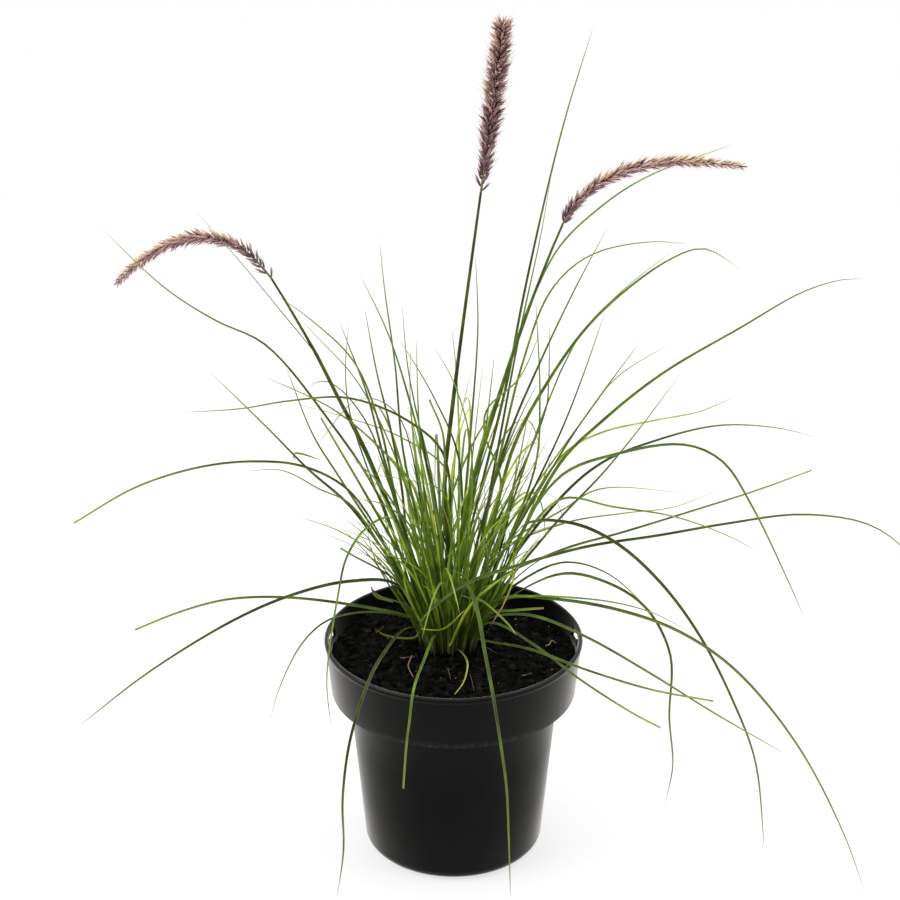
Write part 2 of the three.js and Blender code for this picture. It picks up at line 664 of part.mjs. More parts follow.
stalks.forEach(setOutStalk);
for (const spot of spots) spot.top = leafDraw(stem.low, stem.high);
const free = spots.filter((spot) => spot.used === 0);
for (const spot of free) {
  const heights = [0, 0.25, 0.5, 0.75, 1].map((share) => mix(fan.from, spot.top, share));
  spot.path = heights.map((z) => stemPoint(spot, z));
  hold(spots.indexOf(spot), spaced(spot.path), stem.foot);
}

for (const stalk of stalks.filter((item) => item.flag)) {
  const node = stalk.flag[0];
  const start = stalk.culm.reduce((best, point) => (
    Math.abs(seenAt(point)[1] - node[1]) < Math.abs(seenAt(best)[1] - node[1]) ? point : best));
  const at = stalk.culm.indexOf(start);
  for (let k = 0; k < clear.tries; k += 1) {
    const depth = stalk.flagDepth + clear.depthStep * (k % 2 ? k + 1 : -k) / 2;
    const last = stalk.flag.length - 1;
    const rest = stalk.flag.slice(1).map(([x, z], i) => placed(x, z, mix(start.y, depth, (i + 1) / last)));
    stalk.flagPath = smooth([stalk.culm[at - 4], start, ...rest]);
    if (hasRoom(stalk.name, samplesOf(stalk.flagPath), flag.wide / 2)) break;
  }
  hold(stalk.name, samplesOf(stalk.flagPath), flag.wide / 2);
}

function growListed(item) {
  const [x, z] = item.seen[0];
  const height = Math.hypot(x - crown.x, z - soil.top);
  let whole = height;
  for (let i = 1; i < item.seen.length; i += 1) {
    whole += Math.hypot(item.seen[i][0] - item.seen[i - 1][0], item.seen[i][1] - item.seen[i - 1][1]);
  }
  const y = item.seen[0][2] ?? mix(crown.y, item.depth, height / whole);
  const spot = spotFor(x, y, z, 4);
  spot.used += 1;
  const owner = spots.indexOf(spot);
  let path = null;
  for (let k = 0; k < clear.tries; k += 1) {
    const depth = item.depth + clear.depthStep * (k % 2 ? k + 1 : -k) / 2;
    path = listedPath(item, spot, depth);
    const samples = samplesOf(path);
    if (clearOfPot(samples) && hasRoom(owner, samples, item.wide / 2)) break;
  }
  hold(owner, samplesOf(path), item.wide / 2);
  grown.push({ owner, path, wide: item.wide, end: item.end, twist: leafDraw(-blade.twist, blade.twist) });
}

function growDrawn(spot, shapeOf, wide) {
  const owner = spots.indexOf(spot);
  for (let k = 0; k < clear.draws; k += 1) {
    const path = drawnPath(spot, leafDraw, shapeOf());
    const samples = samplesOf(path);
    const width = leafDraw(...wide);
    if (samples.every(insideTuft) && clearOfPot(samples) && hasRoom(owner, samples, width / 2)) {
      hold(owner, samples, width / 2);
      spot.used += 1;
      grown.push({ owner, path, wide: width, end: 'pointed', twist: leafDraw(-blade.twist, blade.twist) });
      return;
    }
  }
}

[...frontLeaves, ...rightLeaves, ...leftLeaves].forEach(growListed);

const backSpots = free.filter((spot) => spot.v > 0).sort((a, b) => b.v - a.v);
for (let k = 0; k < backLeaves.count; k += 1) {
  const spot = backSpots[k % backSpots.length];
  growDrawn(spot, () => ({
    azimuth: leafDraw(...backLeaves.azimuth) * degrees,
    swing: backLeaves.swing,
    lean: backLeaves.lean,
    tilt: leafDraw(...backLeaves.tilt) * degrees,
    length: leafDraw(...backLeaves.length),
  }), backLeaves.wide);
}

for (const spot of free) {
  const target = Math.floor(leafDraw(fillLeaves.low, fillLeaves.high + 1));
  for (let k = spot.used; k < target; k += 1) {
    growDrawn(spot, () => {
      const pick = leafDraw(0, 1);
      const kind = fillKinds.find((entry) => pick <= entry.share);
      return { swing: kind.swing, lean: 0, tilt: leafDraw(...kind.tilt), length: leafDraw(...kind.length) };
    }, fillLeaves.wide);
  }
}

// Soil: crumbly on top, slightly mounded at the crown, with a plain hole for each stem.

function makeSoil() {
  const gap = soil.gap;
  const inside = (z) => outerWall(z) - pot.wall - gap;
  const outline = [
    [0, pot.wall + gap],
    [outerWall(0) - pot.footEdge - 1, pot.wall + gap],
    [inside(pot.footEdge) - 0.3, pot.footEdge + 1],
    [inside(pot.stepHeight - 2) - 0.2, pot.stepHeight],
    [pot.bodyTop - pot.wall - 2, pot.stepHeight + pot.wall + 1.6],
    [inside(pot.stepHeight + 4) - 1.2, pot.stepHeight + pot.wall + 3],
    [inside(soil.top) - 0.9, soil.top - 2.5],
    [inside(soil.top) - 3, soil.top - 0.5],
  ];
  for (const radius of [82, 72, 61, 50]) outline.push([radius, soil.top]);
  outline.push([soil.flat, soil.top + soil.mound]);
  outline.push([0, soil.top + soil.mound]);
  const turned = new THREE.LatheGeometry(outline.map(([r, z]) => new THREE.Vector2(r, z)), soil.sides);
  turned.rotateX(Math.PI / 2);
  const place = turned.attributes.position;
  for (let i = 0; i < place.count; i += 1) {
    const x = place.getX(i);
    const y = place.getY(i);
    if (Math.abs(place.getZ(i) - soil.top) > 0.01) continue;
    const broad = Math.sin(0.31 * x + 1.3) * Math.cos(0.27 * y);
    const lumps = broad + 0.7 * Math.sin(0.53 * y - 0.41 * x) * Math.cos(0.19 * x);
    place.setZ(i, soil.top + soil.crumb * lumps);
  }
  let solid = toSolid(turned);
  const holes = spots.map((spot) => {
    const line = [stemPoint(spot, soil.top - crown.rootDepth - stem.gap), stemPoint(spot, fan.from)];
    return stemSolid(line, stem.sides, () => stem.foot + 1.35 * stem.gap);
  });
  return solid.subtract(wasm.Manifold.union(holes));
}

// Assembly

addPiece('pot', makePot(), potBlack);
addPiece('soil', makeSoil(), peatBrown);

for (const stalk of stalks) {
  const parts = [stemSolid(stalk.culm, stem.sides, (share) => mix(stalk.foot, stalk.top, share * share))];
  if (stalk.flagPath) parts.push(bladeSolid(stalk.flagPath, flag.wide, 'pointed', flag.twist));
  addPiece(`stalk_${stalk.name}`, wasm.Manifold.union(parts), stalkGreen);
  addPiece(`spike_${stalk.name}`, makeSpike(stalk), spikePurple);
}

free.forEach((spot, number) => {
  const owner = spots.indexOf(spot);
  const root = stemPoint(spot, soil.top - crown.rootDepth);
  const radiusAt = (share) => mix(stem.foot, stem.tip, share * share);
  const parts = [stemSolid([root, ...spot.path], stem.sides, radiusAt)];
  for (const item of grown.filter((entry) => entry.owner === owner)) {
    parts.push(bladeSolid(item.path, item.wide, item.end, item.twist));
  }
  const color = leafGreens[number % leafGreens.length];
  addPiece(`shoot_${String(number + 1).padStart(2, '0')}`, wasm.Manifold.union(parts),
    { color, roughness: 0.5, metalness: 0 });
});

export default group;
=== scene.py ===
import functools
import json
import math

import bpy
import numpy as np
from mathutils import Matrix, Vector

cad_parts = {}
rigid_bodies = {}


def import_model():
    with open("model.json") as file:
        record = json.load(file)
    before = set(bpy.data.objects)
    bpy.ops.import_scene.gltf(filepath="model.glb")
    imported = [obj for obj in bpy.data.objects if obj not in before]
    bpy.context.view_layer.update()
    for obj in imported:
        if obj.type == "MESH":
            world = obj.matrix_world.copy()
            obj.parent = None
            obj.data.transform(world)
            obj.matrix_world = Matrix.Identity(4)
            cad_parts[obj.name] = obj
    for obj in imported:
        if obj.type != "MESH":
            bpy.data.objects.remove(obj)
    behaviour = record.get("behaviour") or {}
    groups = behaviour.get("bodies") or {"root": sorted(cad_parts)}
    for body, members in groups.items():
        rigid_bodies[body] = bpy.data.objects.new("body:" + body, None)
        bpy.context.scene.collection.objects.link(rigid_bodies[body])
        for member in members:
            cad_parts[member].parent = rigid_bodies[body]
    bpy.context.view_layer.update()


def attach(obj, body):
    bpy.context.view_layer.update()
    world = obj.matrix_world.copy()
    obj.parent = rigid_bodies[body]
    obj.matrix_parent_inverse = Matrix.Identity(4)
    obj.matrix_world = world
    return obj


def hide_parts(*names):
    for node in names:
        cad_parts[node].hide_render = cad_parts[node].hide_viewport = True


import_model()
mm = 0.001
goldenAngle = math.radians(137.5)
smoothSteps = 8

for item in bpy.data.objects:
    item.select_set(False)

# Camera and lamps

view = {"distance": 1731, "height": 1100, "pitch": 24.26, "lens": 106.6, "film": 36, "shift": -0.0039}
studio = {
    # how bright the world is from the camera's side and from behind
    "front": 0.3, "back": 1.0,
    # where each soft box stands, the height it aims at, its width in metres and its watts
    "boxes": [
        ((-1.6, -0.5, 1.3), 0.25, 1.3, 35), ((1.7, -0.3, 1.2), 0.25, 1.3, 20),
        ((0.1, 0.3, 2.1), 0.2, 1.6, 30),
    ],
}


def addCamera():
    bpy.ops.object.camera_add(
        location=(0, -view["distance"] * mm, view["height"] * mm),
        rotation=(math.radians(90 - view["pitch"]), 0, 0))
    camera = bpy.context.object
    camera.data.lens = view["lens"]
    camera.data.sensor_width = view["film"]
    camera.data.shift_x = view["shift"]
    bpy.context.scene.camera = camera


def addSoftBox(place, aim, width, power):
    bpy.ops.object.light_add(type="AREA", location=place)
    lamp = bpy.context.object
    lamp.rotation_euler = (Vector((0, 0, aim)) - Vector(place)).to_track_quat("-Z", "Y").to_euler()
    lamp.data.shape = "SQUARE"
    lamp.data.size = width
    lamp.data.energy = power
    lamp.visible_camera = False


addCamera()
for box in studio["boxes"]:
    addSoftBox(*box)
bpy.context.scene.view_settings.view_transform = "Standard"
print("camera and lamps done")


# Where everything grows. The same sizes and leaf paths as the plain model's, in millimetres.

pot = {"rimRadius": 95, "height": 170, "stepHeight": 127, "bodyTop": 77.5, "bodyFoot": 66, "collarFoot": 90}
soil = {"top": 155, "crumb": 1.3, "mound": 1.5, "flat": 39}
crown = {"x": -3, "y": 15, "radius": 20, "rootDepth": 20, "spots": 42, "most": 4}
fan = {"from": 158, "slow": 12, "reach": 35}
stem = {"foot": 1.7, "tip": 1.1, "low": 184, "high": 226}
clear = {
    "step": 2, "gap": 0.9, "free": 16, "depthStep": 6, "tries": 60, "draws": 14, "potGap": 2.2,
    "spikeShare": 0.8, "spikeHalf": 1.5, "low": 12,
}
blade = {
    "root": 0.5, "wideAt": 0.3, "tip": 0.6, "twist": 0.9,
    # where it parts from its stem: below its first seen point, above the soil, under the stem's top
    "below": 45, "seenLow": 13, "drawnLow": 22, "underTop": 4, "sheath": 12,
}
tuft = {
    "middle": 5, "edge": 22, "slope": 0.56, "waist": 300, "half": 96, "narrow": 0.5, "top": 440,
    "behindTop": 205, "behindHalf": 80,
}
backLeaves = {
    "count": 12, "azimuth": (45, 135), "length": (190, 310), "tilt": (70, 125), "lean": 0.3, "swing": 0.15,
    "wide": (1.7, 2.4),
}
fillLeaves = {"low": 3, "high": 4, "wide": (1.4, 2.1)}
fillKinds = [
    {"share": 0.2, "swing": 0.7, "tilt": (0.1, 0.5), "length": (50, 110)},
    {"share": 0.6, "swing": 0.8, "tilt": (-0.1, 0.5), "length": (120, 220)},
    {"share": 1, "swing": 0.8, "tilt": (0.6, 1.9), "length": (170, 280)},
]


def leaf(depth, wide, seen, end="pointed", look=""):
    # points across and up as seen from the front; a third number is how far behind the middle it lies
    return {"depth": depth, "wide": wide, "seen": seen, "end": end, "look": look}


leftLeaves = [
    leaf(70, 1.8, [(-25, 190), (-53, 282), (-89, 344), (-132, 401), (-166, 419), (-200, 443),
        (-243, 488)], look="dull"),
    leaf(-40, 2.2, [(-74, 275), (-104, 305), (-132, 337), (-173, 382)], look="dull"),
    leaf(-70, 1.8, [(-74, 287), (-107, 307), (-139, 311), (-179, 307), (-227, 291),
        (-274, 262)], "cut", "dull"),
    leaf(-60, 1.3, [(-74, 277), (-96, 289), (-123, 304), (-151, 303)]),
    leaf(-90, 2.5, [(-42, 213), (-76, 215), (-112, 206), (-156, 186), (-225, 140),
        (-284, 90)], look="dull"),
    leaf(30, 2, [(-30, 185), (-76, 196), (-126, 202), (-166, 200), (-200, 190), (-234, 175)], "cut"),
    leaf(-60, 1.6, [(-31, 184), (-60, 190), (-92, 183), (-112, 163), (-131, 121), (-137, 97)], look="dull"),
    leaf(-50, 1.7, [(-35, 250), (-46, 267), (-62, 259), (-77, 236), (-85, 200), (-92, 155), (-94, 129),
        (-91, 86)], "dry"),
    leaf(60, 1.8, [(-6, 314), (-30, 341), (-73, 360), (-116, 358), (-150, 352), (-193, 349)]),
    leaf(85, 1.5, [(-4, 302), (-36, 329), (-72, 344), (-124, 359)], look="fresh"),
    leaf(-30, 1.7, [(-28, 289), (-51, 320), (-86, 352), (-134, 377)]),
    leaf(40, 1.7, [(-42, 285), (-53, 342), (-70, 388), (-100, 420), (-125, 439)]),
    leaf(90, 1.3, [(-40, 310), (-68, 373), (-94, 405), (-109, 422)]),
    leaf(-20, 1.8, [(-50, 315), (-61, 363), (-74, 402), (-80, 420)]),
    leaf(20, 1.3, [(-72, 342), (-76, 379), (-73, 418)]),
    leaf(60, 1.7, [(-37, 289), (-45, 338), (-54, 380), (-62, 429)]),
    leaf(95, 1.7, [(-17, 297), (-29, 350), (-45, 407), (-65, 454)]),
    leaf(120, 1.7, [(-36, 320), (-41, 385), (-48, 444), (-51, 481)]),
    leaf(75, 1.5, [(-20, 315), (-32, 383), (-36, 434)]),
    leaf(-40, 1.7, [(-22, 297), (-25, 352), (-26, 407)]),
    leaf(50, 1.5, [(4, 312), (-14, 361), (-39, 407)]),
    leaf(-30, 1.5, [(13, 317), (1, 370), (-14, 400)]),
    leaf(-50, 2, [(-65, 289), (-81, 320), (-94, 345)], "cut"),
    leaf(30, 1.5, [(-82, 299), (-100, 332), (-118, 385)]),
    leaf(10, 1.3, [(-38, 345), (-58, 360), (-72, 356), (-98, 322)]),
    leaf(55, 1.3, [(-62, 342), (-87, 372), (-99, 371), (-113, 351)]),
    leaf(-30, 1.8, [(-40, 214), (-73, 236), (-82, 242)], "cut", "dull"),
    leaf(-15, 1.8, [(-43, 219), (-63, 237)], "cut"),
    leaf(-50, 1.5, [(-7, 286), (-36, 297), (-83, 303)], look="fresh"),
    leaf(-10, 1.5, [(-28, 169), (-49, 170), (-57, 175)], "brown"),
    leaf(-20, 2, [(-33, 194), (-54, 203), (-59, 208)], "brown"),
]
rightLeaves = [
    leaf(110, 1.9, [(38, 374), (47, 428), (60, 496), (75, 564), (93, 629)]),
    leaf(60, 1.8, [(46, 408), (60, 482), (67, 528)], look="dull"),
    leaf(75, 1.7, [(33, 315), (48, 385), (68, 442), (94, 467), (135, 477), (165, 475)]),
    leaf(-40, 1.7, [(38, 327), (61, 388), (84, 442), (106, 488)], look="dull"),
    leaf(-25, 2.8, [(41, 317), (65, 370), (99, 421), (149, 464), (173, 472), (201, 455)], look="fresh"),
    leaf(45, 1.3, [(84, 400), (115, 439), (154, 473)], look="fresh"),
    leaf(90, 1.5, [(75, 331), (91, 377), (106, 427)], look="dull"),
    leaf(60, 1.5, [(81, 325), (101, 358), (132, 405)]),
    leaf(115, 1.4, [(95, 348), (115, 376), (152, 402)]),
    leaf(-20, 2.5, [(75, 308), (106, 343), (147, 379), (201, 414), (242, 440), (268, 449),
        (287, 450)], look="fresh"),
    leaf(40, 1.8, [(76, 265), (107, 302), (135, 341), (161, 381)], look="dull"),
    leaf(95, 1.6, [(78, 316), (104, 333), (143, 343), (175, 350), (200, 362)]),
    leaf(65, 2.1, [(75, 280), (106, 310), (143, 327), (188, 339), (230, 337), (261, 329)]),
    leaf(-70, 2, [(76, 299), (117, 317), (165, 324), (192, 311), (215, 275), (243, 217), (259, 181)]),
    leaf(105, 1.8, [(77, 240), (123, 255), (178, 274), (217, 288), (256, 304)], "cut", "dull"),
    leaf(125, 1.4, [(80, 262), (123, 270), (159, 275), (193, 290)], look="fresh"),
    leaf(-90, 1.8, [(76, 281), (115, 275), (160, 267), (200, 251), (222, 238)]),
    leaf(135, 1.4, [(79, 273), (104, 289), (169, 286)]),
    leaf(-100, 2.6, [(51, 261), (86, 262), (118, 246), (150, 215), (180, 172), (208, 115), (227, 63),
        (238, -19)], "rusty", "dull"),
    leaf(-150, 2.8, [(31, 200), (78, 200), (126, 190), (167, 173), (209, 141), (258, 77), (297, 0),
        (318, -57)], "rusty"),
    leaf(-60, 1.6, [(31, 198), (94, 201), (141, 191), (175, 173)], look="fresh"),
    leaf(-75, 2, [(77, 221), (112, 214), (141, 193), (160, 154), (161, 101), (165, 59), (160, 24)], "dry"),
    leaf(-50, 1.6, [(77, 230), (111, 222), (148, 187)]),
    leaf(-85, 1.8, [(26, 185), (57, 187), (96, 170), (145, 139), (194, 105), (250, 69)], look="dull"),
    leaf(-100, 1.8, [(28, 181), (60, 162), (93, 134), (133, 105), (155, 92)], "brown", "dull"),
    leaf(-110, 1.7, [(23, 166), (56, 159), (97, 142), (146, 125), (193, 115)], "cut", "dull"),
    leaf(-40, 1.7, [(34, 293), (22, 333), (24, 352), (46, 375), (61, 411)], look="fresh"),
    leaf(30, 1.6, [(58, 305), (61, 360), (57, 437)], look="fresh"),
    leaf(60, 1.4, [(65, 350), (67, 372), (67, 417)], look="dull"),
    leaf(85, 1.6, [(13, 345), (17, 415), (15, 470)]),
    leaf(-30, 1.8, [(-7, 329), (-17, 359)], "cut"),
    leaf(40, 1.4, [(15, 330), (21, 389)]),
    leaf(20, 1.4, [(22, 330), (29, 396)]),
]
frontLeaves = [
    leaf(-140, 2.2, [(-33, 177, -8), (-54, 151, -50), (-66, 123, -82), (-78, 79, -100), (-84, 29, -118),
        (-84, -15, -130), (-90, -60)], "dry"),
    leaf(-108, 1.9, [(-13, 171, -10), (-22, 149, -55), (-30, 123, -92), (-33, 97, -103),
        (-35, 81, -106), (-38, 39)], "cut"),
    leaf(-160, 2.8, [(9, 213, -34), (17, 193, -54), (23, 157, -76), (30, 116, -100), (35, 81, -116),
        (40, 41, -130), (42, 0, -145), (44, -60)]),
    leaf(-34, 1.5, [(-24, 175), (-9, 175, -26), (9, 192)]),
    leaf(-62, 1.8, [(-3, 161, -12), (13, 196, -38), (38, 219, -54), (44, 221, -57), (37, 197, -60),
        (27, 178)], "dry"),
    leaf(-50, 1.7, [(18, 200, -34), (39, 181), (46, 171)], "cut"),
    leaf(-25, 2.2, [(28, 189), (43, 191), (66, 193)], "brown"),
    leaf(-60, 2.4, [(-25, 180, -36), (9, 213, -62), (47, 228, -68), (100, 244), (147, 252), (199, 262),
        (250, 269), (297, 262), (323, 245), (345, 215)]),
]
stalks = [
    {
        "name": "left", "depth": 55, "foot": 1.7, "top": 0.8, "reach": 5.6, "tone": 0.27,
        "seen": [(-50, 285), (-63, 320), (-84, 366), (-95, 391), (-115, 430), (-126, 450)],
        "spike": [(-132, 458), (-147, 473), (-172, 480.5), (-198, 474), (-222, 458), (-235, 445)],
        "flag": [(-95, 391), (-120, 426), (-146, 461), (-177, 500)], "flagDepth": 30,
    },
    {
        "name": "centre", "depth": 12, "foot": 1.7, "top": 0.9, "reach": 8, "tone": 0.27,
        "seen": [(-6.5, 290), (-2, 342), (4, 395), (13, 468), (18.7, 513)],
        "spike": [(26, 570), (33.5, 634)],
    },
    {
        "name": "right", "depth": -45, "foot": 1.7, "top": 0.8, "reach": 5.4, "tone": 0.42,
        "seen": [(11, 283), (22, 326), (38, 382), (51, 424), (64, 461), (75, 490)],
        "spike": [(84, 506), (104, 522), (128, 532), (156, 535), (184, 533), (200, 531)],
        "flag": [(51, 424), (72, 472), (98, 500), (130, 523), (189, 547)], "flagDepth": 20,
    },
]
flag = {"wide": 1.9, "twist": 0.4, "tone": 0.4, "sheath": 4}
knee = {"low": 14, "high": 32, "depthShare": 0.25}  # where a culm leaves the crown, above the soil


def makeDraw(seed):
    state = [seed]

    def draw(low, high):
        state[0] = (state[0] * 1664525 + 1013904223) & 0xFFFFFFFF
        return low + (high - low) * state[0] / 4294967296

    return draw


def mix(a, b, share):
    return a + (b - a) * share


def smooth(points):
    # a rounded line through the points
    knots = np.array(points, float)
    knots = np.vstack([2 * knots[0] - knots[1], knots, 2 * knots[-1] - knots[-2]])
    line = []
    for i in range(1, len(knots) - 2):
        a, b, c, d = knots[i - 1:i + 3]
        before, middle, after = [((q - p) ** 2).sum() ** 0.25 for p, q in ((a, b), (b, c), (c, d))]
        leave = ((b - a) / before - (c - a) / (before + middle) + (c - b) / middle) * middle
        arrive = ((c - b) / middle - (d - b) / (middle + after) + (d - c) / after) * middle
        for step in range(smoothSteps):
            t = step / smoothSteps
            line.append(b + leave * t + (3 * (c - b) - 2 * leave - arrive) * t ** 2
                        + (2 * (b - c) + leave + arrive) * t ** 3)
    line.append(knots[-2])
    return np.array(line)


def lengthsOf(path):
    return np.concatenate([[0], np.cumsum(np.sqrt((np.diff(path, axis=0) ** 2).sum(1)))])


def lengthsSeen(seen, first=0.0):
    # the same for points of the photo's plane, on top of a first length
    lengths = [first]
    for a, b in zip(seen, seen[1:]):
        lengths.append(lengths[-1] + math.hypot(b[0] - a[0], b[1] - a[1]))
    return lengths


def valuesAt(shares, lengths, values):
    return np.stack([np.interp(shares * lengths[-1], lengths, values[:, k]) for k in range(3)], 1)


def evenly(path, count):
    return valuesAt(np.arange(count + 1) / count, lengthsOf(path), path)


def spaced(path):
    return evenly(path, max(2, math.ceil(lengthsOf(path)[-1] / clear["step"])))


def samplesOf(path):
    return spaced(path)[math.ceil(clear["free"] / clear["step"]):]


def unit(vectors):
    return vectors / np.sqrt((vectors ** 2).sum(-1, keepdims=True))


def tangents(points):
    ahead = np.vstack([points[1:], points[-1:]])
    behind = np.vstack([points[:1], points[:-1]])
    return unit(ahead - behind)


def placed(x, z, y):
    # a point seen in the upright plane, moved along its sight line
    scale = 1 + y / view["distance"]
    return np.array([scale * x, y, view["height"] + scale * (z - view["height"])])


def seenAt(point):
    scale = 1 + point[1] / view["distance"]
    return point[0] / scale, view["height"] + (point[2] - view["height"]) / scale


def outerWall(z):
    up = (z - pot["stepHeight"]) / (pot["height"] - pot["stepHeight"])
    collar = mix(pot["collarFoot"], pot["rimRadius"], up)
    return np.where(up > 0, collar, mix(pot["bodyFoot"], pot["bodyTop"], z / pot["stepHeight"]))


def spreadAt(z):
    rise = max(z - fan["from"], 0)
    return 1 + rise * rise / ((rise + fan["slow"]) * fan["reach"])


def stemPoint(spot, z):
    spread = spreadAt(z)
    return np.array([crown["x"] + spot["u"] * spread, crown["y"] + spot["v"] * spread, z])


def stemPath(spot, low, high):
    return np.array([stemPoint(spot, mix(low, high, share)) for share in (0, 0.25, 0.5, 0.75, 1)])


def spotFor(x, y, z, most):
    spread = spreadAt(z)
    u = (x - crown["x"]) / spread
    v = (y - crown["y"]) / spread
    off = math.hypot(u, v)
    if off > crown["radius"]:
        u *= crown["radius"] / off
        v *= crown["radius"] / off
    able = [spot for spot in spots if spot["used"] < most]
    return min(able, key=lambda spot: math.hypot(spot["u"] - u, spot["v"] - v) + spot["used"])


def hold(owner, points, half):
    held.append((owner, points, half, points.min(0), points.max(0)))


def hasRoom(owner, points, half):
    low, high = points.min(0), points.max(0)
    for other, places, otherHalf, otherLow, otherHigh in held:
        near = half + otherHalf + clear["gap"]
        if other == owner or (low - near > otherHigh).any() or (high + near < otherLow).any():
            continue
        close = places[((places > low - near) & (places < high + near)).all(1)]
        if len(close) and (((points[:, None] - close[None]) ** 2).sum(2) < near * near).any():
            return False
    return True


def clearOfPot(points):
    radius = np.hypot(points[:, 0], points[:, 1])
    z = points[:, 2]
    gap = clear["potGap"]
    above = z > pot["height"] + gap
    outside = radius > outerWall(z) + gap
    over = (z > soil["top"] + soil["mound"] + gap) & (radius < pot["rimRadius"] - 3 * gap)
    return bool(((z >= clear["low"]) & (above | outside | over)).all())


def insideTuft(points):
    x, z = seenAt(points.T)
    half = np.minimum(tuft["edge"] + tuft["slope"] * (z - soil["top"]),
                      tuft["half"] - tuft["narrow"] * (z - tuft["waist"]))
    behind = (z < tuft["behindTop"]) & (np.abs(x) < tuft["behindHalf"])
    return bool(((z <= tuft["top"]) & (behind | (np.abs(x - tuft["middle"]) < half))).all())


def listedPath(item, spot, depth):
    seen = item["seen"]
    joinZ = max(seen[0][1] - blade["below"], soil["top"] + blade["seenLow"])
    joinZ = min(joinZ, spot["top"] - blade["underTop"])
    join = stemPoint(spot, joinZ)
    before = seenAt(join)
    lengths = lengthsSeen([before, *seen], math.hypot(before[0] - crown["x"], before[1] - soil["top"]))
    joinShare = lengths[0] / lengths[-1]
    miss = join[1] - mix(crown["y"], depth, joinShare)
    points = [stemPoint(spot, joinZ - blade["sheath"]), join]
    for point, length in zip(seen, lengths[1:]):
        share = length / lengths[-1]
        drawn = mix(crown["y"], depth, share) + miss * (1 - share) / (1 - joinShare)
        points.append(placed(point[0], point[1], point[2] if len(point) > 2 else drawn))
    return smooth(points)


def drawnPath(spot, shape):
    joinZ = leafDraw(soil["top"] + blade["drawnLow"], spot["top"] - blade["underTop"])
    join = stemPoint(spot, joinZ)
    start = stemPoint(spot, joinZ - blade["sheath"])
    rise = (join - start) / math.dist(join, start)
    lean = math.acos(rise[2]) + shape["lean"]
    bearing = shape["azimuth"] if "azimuth" in shape else math.atan2(spot["v"], spot["u"])
    swing = bearing + leafDraw(-shape["swing"], shape["swing"])
    points = [start, join]
    for step in range(1, 6):
        tilt = mix(lean, lean + shape["tilt"], (step / 5) ** 1.5)
        way = swing if "azimuth" in shape else mix(bearing, swing, step / 5)
        side = math.sin(tilt) * shape["length"] / 5
        rise = math.cos(tilt) * shape["length"] / 5
        points.append(points[-1] + np.array([side * math.cos(way), side * math.sin(way), rise]))
    return smooth(points)


def setOutStalk(stalk):
    x, z = stalk["seen"][0]
    full = stalk["spike"][-1][1] - soil["top"]
    spot = spotFor(x, mix(crown["y"], stalk["depth"], (z - soil["top"]) / full), z, 1)
    spot["used"] = math.inf
    low, high = [stemPoint(spot, soil["top"] + knee[key]) for key in ("low", "high")]
    seen = stalk["seen"] + stalk["spike"]
    lengths = lengthsSeen(seen)
    start = mix(high[1], stalk["depth"], knee["depthShare"])
    points = [placed(px, pz, mix(start, stalk["depth"], length / lengths[-1]))
              for (px, pz), length in zip(seen, lengths)]
    whole = smooth([stemPoint(spot, fan["from"]), low, high, *points])
    last = smoothSteps * (2 + len(stalk["seen"]))
    stalk["culm"] = np.vstack([stemPoint(spot, soil["top"] - crown["rootDepth"]), whole[:last + 1]])
    stalk["head"] = whole[last:]
    hold(stalk["name"], spaced(stalk["culm"]), stalk["foot"])
    middle = spaced(stalk["head"])
    forward = tangents(middle)
    side = unit(np.cross([0, 1, 0], forward))
    up = np.cross(forward, side)
    reach = clear["spikeShare"] * stalk["reach"]
    turns = [k * math.pi / 4 for k in range(8)]
    rims = [middle + reach * (math.cos(turn) * side + math.sin(turn) * up) for turn in turns]
    hold(stalk["name"] + " spike", np.vstack(rims), clear["spikeHalf"])


def firstFit(owner, depth, half, pathAt):
    # at its own depth, or else step by step before and behind it until there is room
    for k in range(clear["tries"]):
        path = pathAt(depth + clear["depthStep"] * (k + 1 if k % 2 else -k) / 2)
        samples = samplesOf(path)
        if clearOfPot(samples) and hasRoom(owner, samples, half):
            break
    return path


def growFlag(stalk):
    # the flag leaf parts from the culm where it is seen to
    node, *rest = stalk["flag"]
    at = min(range(len(stalk["culm"])), key=lambda i: abs(seenAt(stalk["culm"][i])[1] - node[1]))
    start = stalk["culm"][at]

    def pathAt(depth):
        far = [placed(x, z, mix(start[1], depth, (i + 1) / len(rest))) for i, (x, z) in enumerate(rest)]
        return smooth([stalk["culm"][at - flag["sheath"]], start, *far])

    stalk["flagPath"] = firstFit(stalk["name"], stalk["flagDepth"], flag["wide"] / 2, pathAt)
    stalk["flagAt"] = at
    hold(stalk["name"], samplesOf(stalk["flagPath"]), flag["wide"] / 2)


def keepLeaf(owner, path, wide, **marks):
    hold(owner, samplesOf(path), wide / 2)
    spots[owner]["used"] += 1
    twist = leafDraw(-blade["twist"], blade["twist"])
    grown.append({"owner": owner, "path": path, "wide": wide, "twist": twist, **marks})


def growListed(item):
    first = item["seen"][0]
    height = math.hypot(first[0] - crown["x"], first[1] - soil["top"])
    whole = lengthsSeen(item["seen"], height)[-1]
    y = first[2] if len(first) > 2 else mix(crown["y"], item["depth"], height / whole)
    spot = spotFor(first[0], y, first[1], crown["most"])
    owner = spots.index(spot)
    path = firstFit(owner, item["depth"], item["wide"] / 2, lambda depth: listedPath(item, spot, depth))
    keepLeaf(owner, path, item["wide"], end=item["end"], look=item["look"], listed=True)


